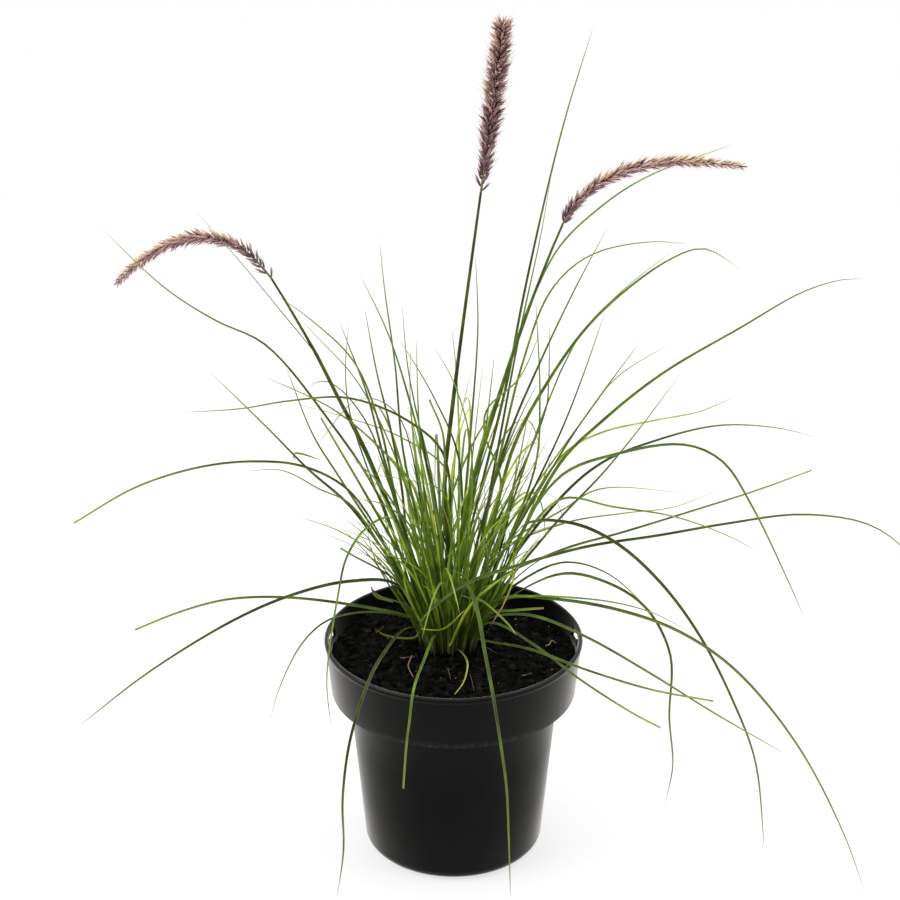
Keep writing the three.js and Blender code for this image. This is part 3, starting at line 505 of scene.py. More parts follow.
def growDrawn(spot, shapeOf, wide):
    owner = spots.index(spot)
    for k in range(clear["draws"]):
        path = drawnPath(spot, shapeOf())
        samples = samplesOf(path)
        width = leafDraw(*wide)
        if insideTuft(samples) and clearOfPot(samples) and hasRoom(owner, samples, width / 2):
            keepLeaf(owner, path, width, end="pointed", look="", listed=False)
            return


def backShape():
    azimuth = math.radians(leafDraw(*backLeaves["azimuth"]))
    tilt = math.radians(leafDraw(*backLeaves["tilt"]))
    return {"azimuth": azimuth, "swing": backLeaves["swing"], "lean": backLeaves["lean"], "tilt": tilt,
            "length": leafDraw(*backLeaves["length"])}


def fillShape():
    pick = leafDraw(0, 1)
    kind = next(entry for entry in fillKinds if pick <= entry["share"])
    tilt = leafDraw(*kind["tilt"])
    return {"swing": kind["swing"], "lean": 0, "tilt": tilt, "length": leafDraw(*kind["length"])}


spots = []
for k in range(crown["spots"]):
    off = crown["radius"] * math.sqrt((k + 0.5) / crown["spots"])
    spots.append({"u": off * math.cos(k * goldenAngle), "v": off * math.sin(k * goldenAngle), "used": 0})

leafDraw = makeDraw(20261)
held = []
grown = []
for stalk in stalks:
    setOutStalk(stalk)
for spot in spots:
    spot["top"] = leafDraw(stem["low"], stem["high"])
free = [spot for spot in spots if spot["used"] == 0]
for spot in free:
    spot["path"] = stemPath(spot, fan["from"], spot["top"])
    hold(spots.index(spot), spaced(spot["path"]), stem["foot"])
for stalk in stalks:
    if "flag" in stalk:
        growFlag(stalk)
for item in frontLeaves + rightLeaves + leftLeaves:
    growListed(item)
backSpots = sorted((spot for spot in free if spot["v"] > 0), key=lambda spot: -spot["v"])
for k in range(backLeaves["count"]):
    growDrawn(backSpots[k % len(backSpots)], backShape, backLeaves["wide"])
for spot in free:
    target = math.floor(leafDraw(fillLeaves["low"], fillLeaves["high"] + 1))
    for k in range(spot["used"], target):
        growDrawn(spot, fillShape, fillLeaves["wide"])
print("grown:", len(free), "shoots with", len(grown), "leaves")


# Ways of working that the pieces share

def hexColour(text):
    # sRGB hex to linear
    parts = [int(text[i:i + 2], 16) / 255 for i in (1, 3, 5)]
    return (*[p / 12.92 if p <= 0.04045 else ((p + 0.055) / 1.055) ** 2.4 for p in parts], 1)


def addNode(tree, kind, settings=None, links=None):
    # a link's source is an output, or a node, which stands for its first output in use
    node = tree.nodes.new("ShaderNode" + kind)
    for name, value in (settings or {}).items():
        if name == "stops":
            stops = node.color_ramp.elements
            while len(stops) < len(value):
                stops.new(0.5)
            for stop, (place, colour) in zip(stops, value):
                stop.position = place
                stop.color = hexColour(colour) if isinstance(colour, str) else (colour, colour, colour, 1)
        elif isinstance(name, int) or name in node.inputs:
            node.inputs[name].default_value = hexColour(value) if str(value).startswith("#") else value
        else:
            setattr(node, name, value)
    for name, source in (links or {}).items():
        if isinstance(source, bpy.types.Node):
            source = next(output for output in source.outputs if output.enabled)
        tree.links.new(source, node.inputs[name])
    return node


def lightWorld():
    # white paper all round, darker on the camera's side; the camera itself sees it white
    world = bpy.data.worlds.new("studio")
    world.use_nodes = True
    tree = world.node_tree
    add = functools.partial(addNode, tree)
    way = add("SeparateXYZ", links={0: add("TexCoord").outputs["Generated"]})
    front = add("MapRange", {
        "From Min": -0.9, "From Max": 0.2, "To Min": studio["front"], "To Max": studio["back"]},
        {0: way.outputs["Y"]})
    seen = add("LightPath").outputs["Is Camera Ray"]
    strength = add("Mix", {3: 1.0}, {0: seen, 2: front})
    back = tree.nodes["Background"]
    back.inputs["Color"].default_value = (1, 1, 1, 1)
    tree.links.new(strength.outputs[0], back.inputs["Strength"])
    bpy.context.scene.world = world


def newMaterial(name):
    material = bpy.data.materials.new(name)
    material.use_nodes = True
    material.node_tree.nodes.clear()
    return material, functools.partial(addNode, material.node_tree)


def addSurface(add, settings, links=None):
    add("OutputMaterial", links={"Surface": add("BsdfPrincipled", settings, links)})


def readShape(shape):
    # the points and faces of a shape modelled once, which is then cleared away
    mesh = shape.data
    points = np.empty(len(mesh.vertices) * 3)
    mesh.vertices.foreach_get("co", points)
    faces = [tuple(face.vertices) for face in mesh.polygons]
    bpy.data.objects.remove(shape)
    return points.reshape(-1, 3), faces


def addShapes(name, shapes):
    # one object from many copies, each a set of points, faces and values at the points
    points, faces = [], []
    values = {key: [] for place, sides, marks in shapes for key in marks}
    count = 0
    for place, sides, marks in shapes:
        points.append(place)
        faces += [tuple(corner + count for corner in side) for side in sides]
        count += len(place)
        for key in values:
            values[key].append(np.broadcast_to(marks.get(key, 0.0), len(place)))
    mesh = bpy.data.meshes.new(name)
    mesh.from_pydata((np.vstack(points) * mm).tolist(), [], faces)
    for key, value in values.items():
        mark = mesh.attributes.new(key, "FLOAT", "POINT")
        mark.data.foreach_set("value", np.concatenate(value).astype(np.float32))
    piece = bpy.data.objects.new(name, mesh)
    bpy.context.scene.collection.objects.link(piece)
    return piece


def selectOnly(*pieces):
    bpy.ops.object.select_all(action="DESELECT")
    for piece in pieces:
        piece.select_set(True)
    bpy.context.view_layer.objects.active = pieces[-1]


def startEdit():
    bpy.ops.object.mode_set(mode="EDIT")
    bpy.ops.mesh.select_all(action="SELECT")


def extrudeUp(rise, grow=1, height=0):
    bpy.ops.mesh.extrude_region_move(TRANSFORM_OT_translate={"value": (0, 0, rise)})
    if grow != 1:
        bpy.ops.transform.resize(value=(grow, grow, 1), center_override=(0, 0, height))


def endEdit():
    bpy.ops.mesh.select_all(action="SELECT")
    bpy.ops.mesh.normals_make_consistent(inside=False)
    bpy.ops.object.mode_set(mode="OBJECT")


def turnBody(name, outline, sides):
    # a disc drawn up through the outline's radii and heights
    radius, height = outline[0]
    bpy.ops.mesh.primitive_circle_add(
        vertices=sides, radius=radius * mm, fill_type="NGON", location=(0, 0, height * mm))
    body = bpy.context.object
    body.name = name
    startEdit()
    for nextRadius, nextHeight in outline[1:]:
        extrudeUp((nextHeight - height) * mm, nextRadius / radius, nextHeight * mm)
        radius, height = nextRadius, nextHeight
    endEdit()
    return body


def applyModifier(piece, kind, **settings):
    modifier = piece.modifiers.new(kind.lower(), kind)
    for name, value in settings.items():
        setattr(modifier, name, value)
    bpy.context.view_layer.objects.active = piece
    bpy.ops.object.modifier_apply(modifier=modifier.name)


def carve(piece, cutter, operation="DIFFERENCE"):
    applyModifier(piece, "BOOLEAN", object=cutter, operation=operation, solver="EXACT")
    bpy.data.objects.remove(cutter)


def finishPiece(piece, material, nodes=(), angle=40):
    selectOnly(piece)
    bpy.ops.object.transform_apply(location=True, rotation=True, scale=True)
    bpy.ops.object.shade_smooth_by_angle(angle=math.radians(angle))
    piece.select_set(False)
    piece.data.materials.clear()
    piece.data.materials.append(material)
    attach(piece, "root")
    if nodes:
        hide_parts(*nodes)


lightWorld()


# Pot: black polypropylene, injection moulded, a little dusty, with a painted highlight along the top of the
# rim.
# It gives a dark middle and a satin edge.

def makePotMaterial():
    material, add = newMaterial("pottedPolypropylene")
    where = add("TexCoord").outputs["Object"]
    # 3 mm mottle, 30 mm wiping marks, a speck every 14 mm
    grain = add("TexNoise", {"Scale": 1 / (3 * mm), "Detail": 6}, {"Vector": where})
    smear = add("TexNoise", {"Scale": 1 / (30 * mm), "Detail": 3}, {"Vector": where})
    cells = add("TexVoronoi", {"Scale": 1 / (14 * mm)}, {"Vector": where})
    height = add("SeparateXYZ", links={"Vector": where}).outputs["Z"]
    step = add("ValToRGB", {"stops": [
        (0.1258, 0.0), (0.1268, 1.0), (0.1282, 1.0), (0.1294, 0.0)]}, {"Fac": height})
    patchy = add("ValToRGB", {"stops": [(0.4, 0.04), (0.72, 0.4)]}, {"Fac": grain})
    dust = add("Math", {"operation": "MULTIPLY"}, {0: step, 1: patchy})
    # painted highlight: a lighter grey band along the top of the rim
    lip = add("MapRange", {"From Min": 0.1684, "From Max": 0.1698, "To Max": 0.25}, {"Value": height})
    speck = add("ValToRGB", {"stops": [(0.02, 0.25), (0.045, 0.0)]}, {"Fac": cells})
    colour = add("ValToRGB", {"stops": [(0.3, "#030303"), (0.75, "#090908")]}, {"Fac": smear})
    # dust on the step, the painted rim highlight and the dust specks
    for paint, cover in (("#6f6c66", dust), ("#4c4c4a", lip), ("#76716a", speck)):
        colour = add("Mix", {"data_type": "RGBA", 7: paint}, {"Factor": cover, 6: colour})
    rough = add("MapRange", {"To Min": 0.26, "To Max": 0.4}, {"Value": grain})
    bump = add("Bump", {"Strength": 0.12, "Distance": 0.05 * mm}, {"Height": grain})
    addSurface(add, {
        "IOR": 1.49, "Specular IOR Level": 0.06, "Sheen Weight": 1.0, "Sheen Roughness": 0.28,
        "Sheen Tint": "#e4dfd6"}, {"Base Color": colour, "Roughness": rough, "Normal": bump})
    return material


potShape = {
    "sides": 144, "smooth": 32,
    # radius and height, up the outside, over the lip and down the inside
    "outline": [
        (58, 0), (61, 0.7), (63.4, 2.2), (65.2, 4.6), (66.4, 8), (70, 48), (73.8, 88), (77.4, 126.2),
        (77.9, 127.2), (78.6, 127.5), (88.9, 127.1), (89.9, 127.5), (90.3, 128.6), (94, 164.6), (94.3, 165.6),
        (94.7, 166.4), (95, 167.4), (94.9, 168.9), (94.2, 169.8), (93.2, 170), (92.4, 169.6), (92.1, 168.4),
        (88.2, 130.6), (87.4, 129.6), (76.4, 129.6), (75.6, 128.8), (71.5, 88), (64.6, 9), (61.5, 4),
        (58, 2.2),
    ],
    # through, along and up the wall; how far in from its face, behind the middle in degrees, and up
    "slot": {"size": (24, 21.5, 8.4), "inset": 0, "behind": 9, "height": 161.4},
    # a dark block inside each slot that stands in for shade on the slot's lower end
    "slotShade": {"size": (2, 1.3, 4), "inset": 0.9, "behind": 7.7, "height": 158.4},
    "drains": {"count": 8, "radius": 3.5, "middle": 45, "deep": 8, "sides": 24},
}


def addWallBox(box, side):
    turn = math.radians(box["behind"])
    middle = (float(outerWall(box["height"])) - box["inset"]) * mm
    bpy.ops.mesh.primitive_cube_add(
        size=1, scale=[size * mm for size in box["size"]], rotation=(0, 0, side * turn),
        location=(side * middle * math.cos(turn), middle * math.sin(turn), box["height"] * mm))
    return bpy.context.object


def makePot():
    piece = turnBody("pot_shell", potShape["outline"], potShape["sides"])
    for side in (1, -1):
        carve(piece, addWallBox(potShape["slot"], side))
        # the block that darkens each slot's lower end as painted shade
        carve(piece, addWallBox(potShape["slotShade"], side), "UNION")
    drains = potShape["drains"]
    middle = drains["middle"] * mm
    for k in range(drains["count"]):
        turn = (k + 0.5) * 2 * math.pi / drains["count"]
        bpy.ops.mesh.primitive_cylinder_add(
            vertices=drains["sides"], radius=drains["radius"] * mm, depth=drains["deep"] * mm,
            location=(middle * math.cos(turn), middle * math.sin(turn), 0))
        carve(piece, bpy.context.object)
    finishPiece(piece, makePotMaterial(), ["pot"], potShape["smooth"])


makePot()
print("pot done")


# Soil: dark peat compost, nearly black, in dry crumbs with bits of straw and moss. No gloss at all.

def makeSoilMaterial():
    material, add = newMaterial("peatCompost")
    where = add("TexCoord").outputs["Object"]
    # 7 mm clods and 1.4 mm crumbs
    clods = add("TexNoise", {"Scale": 1 / (7 * mm), "Detail": 8}, {"Vector": where})
    crumbs = add("TexNoise", {"Scale": 1 / (1.4 * mm), "Detail": 4}, {"Vector": where})
    tone = add("Attribute", {"attribute_name": "tone"}).outputs["Fac"]
    toned = add("Math", {"operation": "MULTIPLY_ADD", 1: 0.22}, {0: tone, 2: clods})
    colour = add("ValToRGB", {"stops": [
        (0.35, "#020202"), (0.52, "#080807"), (0.68, "#12110f"), (0.85, "#231f18")]}, {"Fac": toned})
    bump = add("Bump", {"Strength": 0.9, "Distance": 0.6 * mm}, {"Height": crumbs})
    addSurface(add, {"Roughness": 0.95, "Specular IOR Level": 0.04}, {"Base Color": colour, "Normal": bump})
    return material


soilShape = {
    "sides": 96, "cell": 1.1, "half": 91, "thick": 6, "rim": 90.2, "trim": 30, "smooth": 60,
    "outline": [
        (54, 2.6), (59, 3), (62.6, 9.5), (74.6, 126), (74.8, 131), (85.6, 131.5), (86.5, 133), (89.4, 148.5),
    ],
    "sunk": 0.6, "clodSize": 8, "clodHeight": 5, "grainSize": 2.6, "grainHeight": 2,
}
crumbShape = {
    "count": 3000, "size": (0.6, 3.1), "fine": 2.4, "bed": 0.1, "reach": 88, "wide": (0.7, 1.4),
    "high": (0.5, 1), "knobs": 0.35, "waves": (-3, 3), "shift": 6,
}


def soilHeight(x, y):
    # low waves 12 to 33 mm long, the same as the plain model's
    broad = np.sin(0.31 * x + 1.3) * np.cos(0.27 * y)
    lumps = broad + 0.7 * np.sin(0.53 * y - 0.41 * x) * np.cos(0.19 * x)
    mound = soil["mound"] * np.exp(-((x - crown["x"]) ** 2 + (y - crown["y"]) ** 2) / soil["flat"] ** 2)
    return soil["top"] - soilShape["sunk"] + 0.5 * soil["crumb"] * lumps + mound


def onSoil(points, lift):
    return np.array([(x, y, float(soilHeight(x, y)) + lift) for x, y in points])


def strewn(draw, nearest, reach, lift):
    turn, off = draw(0, 2 * math.pi), reach * math.sqrt(draw(nearest, 1))
    return onSoil([(off * math.cos(turn), off * math.sin(turn))], lift)


def makeLump():
    bpy.ops.mesh.primitive_ico_sphere_add(subdivisions=1, radius=1)
    return readShape(bpy.context.object)


def roughen(piece, kind, size, height):
    texture = bpy.data.textures.new(kind.lower(), kind)
    texture.noise_scale = size * mm
    applyModifier(piece, "DISPLACE", texture=texture, texture_coords="LOCAL", direction="Z",
                  strength=height * mm, mid_level=0.5, vertex_group="top")


def makeCrust():
    # the soil's rough top: a grid lifted to the mound, roughened, given depth and trimmed round
    wide = 2 * soilShape["half"]
    cells = round(wide / soilShape["cell"])
    bpy.ops.mesh.primitive_grid_add(x_subdivisions=cells, y_subdivisions=cells, size=wide * mm)
    crust = bpy.context.object
    crust.name = "soil_top"
    vertices = crust.data.vertices
    crust.vertex_groups.new(name="top").add(list(range(len(vertices))), 1, "REPLACE")
    points = np.empty(len(vertices) * 3)
    vertices.foreach_get("co", points)
    points = points.reshape(-1, 3)
    points[:, 2] = soilHeight(points[:, 0] / mm, points[:, 1] / mm) * mm
    vertices.foreach_set("co", points.ravel())
    crust.data.update()
    roughen(crust, "VORONOI", soilShape["clodSize"], soilShape["clodHeight"])
    roughen(crust, "CLOUDS", soilShape["grainSize"], soilShape["grainHeight"])
    selectOnly(crust)
    startEdit()
    extrudeUp(-soilShape["thick"] * mm)
    endEdit()
    bpy.ops.mesh.primitive_cylinder_add(
        vertices=soilShape["sides"], radius=soilShape["rim"] * mm, depth=soilShape["trim"] * mm,
        location=(0, 0, soil["top"] * mm))
    carve(crust, bpy.context.object, "INTERSECT")
    return crust


def makeCrumbs(material):
    lump, sides = makeLump()
    draw = makeDraw(311)
    crumbs = []
    for k in range(crumbShape["count"]):
        size = mix(*crumbShape["size"], draw(0, 1) ** crumbShape["fine"])
        middle = strewn(draw, 0, crumbShape["reach"], crumbShape["bed"] * size)
        waves = np.array([draw(*crumbShape["waves"]) for axis in "xyz"])
        knobs = 1 + crumbShape["knobs"] * np.sin(lump @ waves + draw(0, crumbShape["shift"]))
        spread = np.array([draw(*crumbShape[key]) for key in ("wide", "wide", "high")])
        crumbs.append((lump * knobs[:, None] * size * spread + middle, sides, {"tone": draw(0, 1)}))
    finishPiece(addShapes("soil_crumbs", crumbs), material)


def makeSoil():
    body = turnBody("soil_body", soilShape["outline"], soilShape["sides"])
    crust = makeCrust()
    selectOnly(body, crust)
    bpy.ops.object.join()
    material = makeSoilMaterial()
    finishPiece(crust, material, ["soil"], soilShape["smooth"])
    makeCrumbs(material)


makeSoil()
print("soil done")


# Blades and stems: modelled once, straight, then laid along each path

bladeShape = {
    "steps": 48, "across": 6, "thick": 0.13, "midrib": 0.1, "sunk": 0.05,
    # how the channel closes at the foot and lies open farther on
    "foldFoot": 2.7, "foldOut": 1.1, "foldEnd": 0.16,
    # the long taper and the short one at the very end, and how much of the first there is
    "fuller": 1.16, "taper": (1.6, 0.75), "endTaper": 20, "slender": 0.8, "least": 0.0004, "dryTaper": 6,
    # a cut leaf stays blunt: its width, and how many millimetres of its end are dry
    "blunt": 1.15, "bluntDry": {"cut": 1.6, "brown": 5},
    # where the others start to wither, over how much of the leaf and how far it goes
    "wither": {"dry": (0.76, 0.15, 1), "rusty": (0.3, 0.5, 0.45), "pointed": (0.92, 0.05, 0.8)},
    "aimHeight": 300,
}
tubeShape = {"sides": 10, "steps": 20}


def makeBladeBlank():
    bpy.ops.mesh.primitive_grid_add(
        x_subdivisions=bladeShape["steps"], y_subdivisions=bladeShape["across"], size=1)
    blank = bpy.context.object
    applyModifier(blank, "SOLIDIFY", thickness=bladeShape["thick"], offset=-1)
    points, faces = readShape(blank)
    points[:, 0] += 0.5
    low = (points[:, 2] < -0.01) & (np.abs(points[:, 1]) < 0.01)
    points[low, 2] -= bladeShape["midrib"]
    return points, faces


def makeTubeBlank():
    bpy.ops.mesh.primitive_circle_add(vertices=tubeShape["sides"], radius=1, fill_type="NGON")
    blank = bpy.context.object
    startEdit()
    for k in range(tubeShape["steps"]):
        extrudeUp(1 / tubeShape["steps"])
    endEdit()
    return readShape(blank)


def framesAlong(path, shares, across):
    lengths = lengthsOf(path)
    places = valuesAt(shares, lengths, path)
    forward = unit(valuesAt(shares, lengths, tangents(path)))
    side = unit(across - (forward @ across)[:, None] * forward)
    return places, forward, side, np.cross(side, forward)


def layBlade(path, wide, end, twist, tone, roll):
    # roll turns the blade's face from level, 0, to the camera, 1
    points, faces = bladeBlank
    share, t, up = points.T
    chord = path[-1] - path[0]
    level = np.array([chord[1], -chord[0], 0]) / math.hypot(chord[0], chord[1])
    facing = unit(np.cross(chord, [0, view["distance"], bladeShape["aimHeight"] - view["height"]]))
    facing *= math.copysign(1, facing @ level)
    places, forward, side, above = framesAlong(path, share, mix(level, facing, roll))
    turn = (twist * share)[:, None]
    side, above = (side * np.cos(turn) + np.cross(forward, side) * np.sin(turn),
                   above * np.cos(turn) + np.cross(forward, above) * np.sin(turn))
    bulge, thin = bladeShape["taper"]
    slender = np.maximum(1 - share ** bulge, bladeShape["least"]) ** thin
    profile = bladeShape["fuller"] * mix(1 - share ** bladeShape["endTaper"], slender, bladeShape["slender"])
    if end == "dry":
        profile = mix(profile, 1 - share ** bladeShape["dryTaper"], 0.5)
    if end in bladeShape["bluntDry"]:
        profile = bladeShape["blunt"] * mix(1, blade["tip"], share)
        left = (1 - share) * lengthsOf(path)[-1]
        wither = np.clip(1.6 - left / bladeShape["bluntDry"][end], 0, 1)
    else:
        start, over, most = bladeShape["wither"][end]
        wither = most * np.clip((share - start) / over, 0, 1)
    width = wide * mix(blade["root"], 1, np.minimum(share / blade["wideAt"], 1)) * profile
    opened = np.minimum(share / bladeShape["foldEnd"], 1)
    fold = mix(bladeShape["foldFoot"], bladeShape["foldOut"], opened)
    angle = fold * t
    out = width * (np.sin(angle) / fold - up * np.sin(angle))
    lift = width * ((1 - np.cos(angle)) / fold + up * np.cos(angle) - bladeShape["sunk"])
    place = places + side * out[:, None] + above * lift[:, None]
    return place, faces, {"along": share, "across": 2 * t, "tone": tone, "wither": wither}


def layTube(path, radiusAt, tone):
    points, faces = tubeBlank
    x, y, share = points.T
    places, forward, side, above = framesAlong(path, share, np.array([1.0, 0.0, 0.0]))
    radius = radiusAt(share)
    place = places + side * (x * radius)[:, None] + above * (y * radius)[:, None]
    return place, faces, {"along": share, "across": y, "tone": tone, "stemLike": 1.0}


bladeBlank = makeBladeBlank()
tubeBlank = makeTubeBlank()


# Leaves: fresh grass blades, parallel-veined with a pale midrib; their edges get a painted highlight. They
# give a soft sheen and let some light through.

def makeLeafMaterial():
    material, add = newMaterial("grassBlade")
    where = add("TexCoord").outputs["Object"]
    along, across, tone, wither, stemLike = [
        add("Attribute", {"attribute_name": name}).outputs["Fac"]
        for name in ("along", "across", "tone", "wither", "stemLike")]
    # 16 mm patches and 0.8 mm pores
    mottle = add("TexNoise", {"Scale": 1 / (16 * mm), "Detail": 4}, {"Vector": where})
    grain = add("TexNoise", {"Scale": 1 / (0.8 * mm), "Detail": 2}, {"Vector": where})
    shifted = add("MapRange", {
        "From Min": 0.25, "From Max": 0.75, "To Min": -0.28, "To Max": 0.28}, {"Value": mottle})
    toned = add("Math", {"operation": "ADD", "use_clamp": True}, {0: tone, 1: shifted})
    colour = add("ValToRGB", {"stops": [
        (0, "#222b0c"), (0.22, "#364310"), (0.5, "#4e6a10"), (0.75, "#708a18"), (1, "#a7b430")]},
        {"Fac": toned})
    leafLike = add("Math", {"operation": "SUBTRACT", 0: 1.0}, {1: stemLike})
    height = add("SeparateXYZ", links={"Vector": where}).outputs["Z"]
    tip = add("ValToRGB", {"stops": [(0.6, 0.0), (1, 0.7)]}, {"Fac": along})
    low = add("MapRange", {"From Min": 0.2, "From Max": 0.165}, {"Value": height})
    # peat stain and painted shade: the stems darken to brown over their last 8 mm above the soil
    peatAndShade = add("MapRange", {"From Min": 0.1645, "From Max": 0.1565, "To Max": 0.85}, {"Value": height})
    off = add("Math", {"operation": "ABSOLUTE"}, {0: across})
    # a pale midrib, and a painted highlight along both edges of each blade
    midribAndEdgeHighlight = add("ValToRGB", {"stops": [(0, 0.16), (0.35, 0.0), (0.6, 0.0), (1, 0.35)]}, {"Fac": off})
    # pale tips, pale feet, peat stain with painted shade darkening the sheaths near the soil, pale midrib and
    # edges painted paler as a highlight
    layers = [("#8fa043", tip, leafLike), ("#5f6c30", low, stemLike), ("#1f1a10", peatAndShade, stemLike),
              ("#83965a", midribAndEdgeHighlight, leafLike)]
    for paint, place, kind in layers:
        cover = add("Math", {"operation": "MULTIPLY"}, {0: place, 1: kind})
        colour = add("Mix", {"data_type": "RGBA", 7: paint}, {"Factor": cover, 6: colour})
    straw = add("ValToRGB", {"stops": [(0.35, "#a58a57"), (0.65, "#5c4038")]}, {"Fac": mottle})
    dried = add("Mix", {"data_type": "RGBA"}, {"Factor": wither, 6: colour, 7: straw})
    bump = add("Bump", {"Strength": 0.15, "Distance": 0.04 * mm}, {"Height": grain})
    addSurface(add, {
        "Roughness": 0.45, "IOR": 1.42, "Specular IOR Level": 0.15, "Subsurface Weight": 0.16,
        "Subsurface Scale": 0.5 * mm, "Subsurface Radius": (0.6, 1.0, 0.2)},
        {"Base Color": dried, "Normal": bump})
    return material


shootShape = {
    "slimmer": 0.8, "thinner": 0.1, "sheathStep": 0.12, "sheathRun": 3, "stemTone": (0.15, 1.0),
    # over how much of it the stem closes, to what share and how bluntly
    "close": (0.3, 0.02, 0.6), "smooth": 50,
    # the longer a leaf, the darker; hanging ones are duller; a few are seen to be dull or fresh
    "longTone": 0.26, "shortTone": 0.75, "longLeaf": 420, "scatter": 0.45, "droopTone": 0.12, "droop": 120,
    "looks": {"dull": 0.25, "fresh": 0.58},
    "faceFront": 0.85, "faceInside": 0.3, "broad": 2, "broadShare": 0.4,
}
tillerShape = {
    "count": 4, "off": (1.9, 3), "thick": 0.72, "narrow": 0.55, "sunk": 6, "top": (172, 212),
    "tone": (-0.1, 1.0), "leaf": (45, 135), "wide": (0.9, 1.6), "bend": 0.42, "droop": 0.12, "twist": 2,
    "face": 0.4,
}
shootDraw = makeDraw(77)
leafMaterial = makeLeafMaterial()


def makeTiller(spot):
    # a thin side shoot pressed against the big one, with one leaf that is still upright
    turn = shootDraw(0, 2 * math.pi)
    off = shootDraw(*tillerShape["off"])
    side = {"u": spot["u"] + off * math.cos(turn), "v": spot["v"] + off * math.sin(turn)}
    path = stemPath(side, soil["top"] - tillerShape["sunk"], shootDraw(*tillerShape["top"]))
    tone = shootDraw(*tillerShape["tone"])
    sheath = layTube(path, lambda share: tillerShape["thick"] * mix(1, tillerShape["narrow"], share), tone)
    rise = unit(path[-1] - path[-2])
    length = shootDraw(*tillerShape["leaf"]) * rise[2] ** 2  # the ones that lean are shorter
    bend = np.array([shootDraw(-1, 1), shootDraw(-1, 1), 0]) * tillerShape["bend"]
    points = [path[-2], path[-1]]
    for share in (0.25, 0.5, 0.75, 1):
        drop = np.array([0, 0, tillerShape["droop"] * length * share ** 3])
        points.append(path[-1] + length * share * (rise + bend * share) - drop)
    wide = shootDraw(*tillerShape["wide"])
    twist = shootDraw(-tillerShape["twist"], tillerShape["twist"])
    return [sheath, layBlade(smooth(points), wide, "pointed", twist, tone, tillerShape["face"])]


def leafTone(item):
    if item["look"]:
        tone = shootShape["looks"][item["look"]]
    else:
        length = lengthsOf(item["path"])[-1]
        tone = mix(shootShape["shortTone"], shootShape["longTone"], min(length / shootShape["longLeaf"], 1))
        tone += shootShape["scatter"] * item["chance"] * abs(item["chance"])
    height = item["path"][:, 2]
    return tone - shootShape["droopTone"] * min((height.max() - height[-1]) / shootShape["droop"], 1)


def makeShoot(number, spot):
    owner = spots.index(spot)
    leaves = [item for item in grown if item["owner"] == owner]
    root = stemPoint(spot, soil["top"] - crown["rootDepth"])
    joins = [item["path"][smoothSteps][2] for item in leaves]
    over, least, blunt = shootShape["close"]

    def radiusAt(share):
        z = mix(root[2], spot["top"], share)
        radius = shootShape["slimmer"] * mix(stem["foot"], stem["tip"], share * share) - shootShape["thinner"]
        for join in joins:
            radius = radius + shootShape["sheathStep"] * np.clip((join - z) / shootShape["sheathRun"], 0, 1)
        return radius * np.clip((1 - share) / over, least, 1) ** blunt

    shapes = [layTube(np.vstack([root, spot["path"]]), radiusAt, shootDraw(*shootShape["stemTone"]))]
    for item in leaves:
        item["chance"] = shootDraw(-1, 1)
        roll = shootShape["faceFront"] if item["listed"] else shootShape["faceInside"]
        wide = item["wide"] - (1 - shootShape["broadShare"]) * max(item["wide"] - shootShape["broad"], 0)
        shapes.append(layBlade(item["path"], wide, item["end"], item["twist"], leafTone(item), roll))
    for k in range(tillerShape["count"]):
        shapes += makeTiller(spot)
    name = "shoot_%02d" % (number + 1)
    finishPiece(addShapes(name + "_leaves", shapes), leafMaterial, [name], shootShape["smooth"])


for number, spot in enumerate(free):
    makeShoot(number, spot)
print("shoots done")


# Stalks: green culms, swollen a little at each node

culmShape = {"nodes": [0.36, 0.62], "swell": 0.35, "nodeHalf": 2.2, "sheath": 0.12, "smooth": 50}


def makeStalk(stalk):
    length = lengthsOf(stalk["culm"])[-1]
    nodes = list(culmShape["nodes"])
    if "flag" in stalk:
        nodes.append(lengthsOf(stalk["culm"])[stalk["flagAt"]] / length)

    def radiusAt(share):
        radius = mix(stalk["foot"], stalk["top"], share * share)
        for node in nodes:
            off = (share - node) * length / culmShape["nodeHalf"]
            radius = radius * (1 + culmShape["swell"] * np.exp(-off ** 2))
            radius = radius + culmShape["sheath"] * (share < node)
        return radius

    shapes = [layTube(stalk["culm"], radiusAt, stalk["tone"])]
    if "flag" in stalk:
        shapes.append(layBlade(stalk["flagPath"], flag["wide"], "pointed", flag["twist"], flag["tone"], 0))
    name = "stalk_" + stalk["name"]
    finishPiece(addShapes(name + "_culm", shapes), leafMaterial, [name], culmShape["smooth"])


for stalk in stalks:
    makeStalk(stalk)
print("stalks done")


# Debris: dry straws and bits of moss on the soil, a curled leaf on it, and two withered ends in the tuft

debris = {
    "straws": [
        [(-39, -10.5), (-29, -11)], [(-30.5, -11.4), (-33, -23), (-31.5, -32), (-29, -40)],
        [(12, -36), (13.5, -47), (14.5, -60)], [(-4, -27), (-2, -45)], [(25, 2), (32, -3)],
        [(68, 7.5), (71, 9), (73, 13.5), (76, 11.5)], [(-58, 30), (-52, 38)], [(50, -38), (57, -33)],
    ],
    "lift": 2.6, "strawLift": (-0.6, 1.2), "strawThick": (0.266, 0.494), "strawTone": (0.5, 1),
    "bits": 30, "bitSize": (0.35, 0.9), "bitWide": (0.6, 1.6), "bitHigh": 0.5, "bitLift": 1.6,
    "bitNearest": 0.1, "bitReach": 86, "mossShare": 0.45, "mossTone": (0, 0.3),
    # the curled leaf on the soil, and how far each of its points is raised
    "curl": [(-1, 4), (6, -7), (10, -21), (9.7, -36), (7, -50), (1, -66)],
    "curlLift": [0, 2, 3, 2.5, 1.5, 0.5],
    # the other two as seen from the front, and how far they lie behind the middle
    "fold": [(-113, 312), (-114.5, 315.6), (-113, 317.3), (-109, 317), (-102, 314.8), (-95, 312)],
    "scrap": [(-44, 198), (-50, 200.6), (-54.5, 201.6), (-58, 204.5), (-60, 210)],
    "foldDepth": 60, "scrapDepth": -24,
}


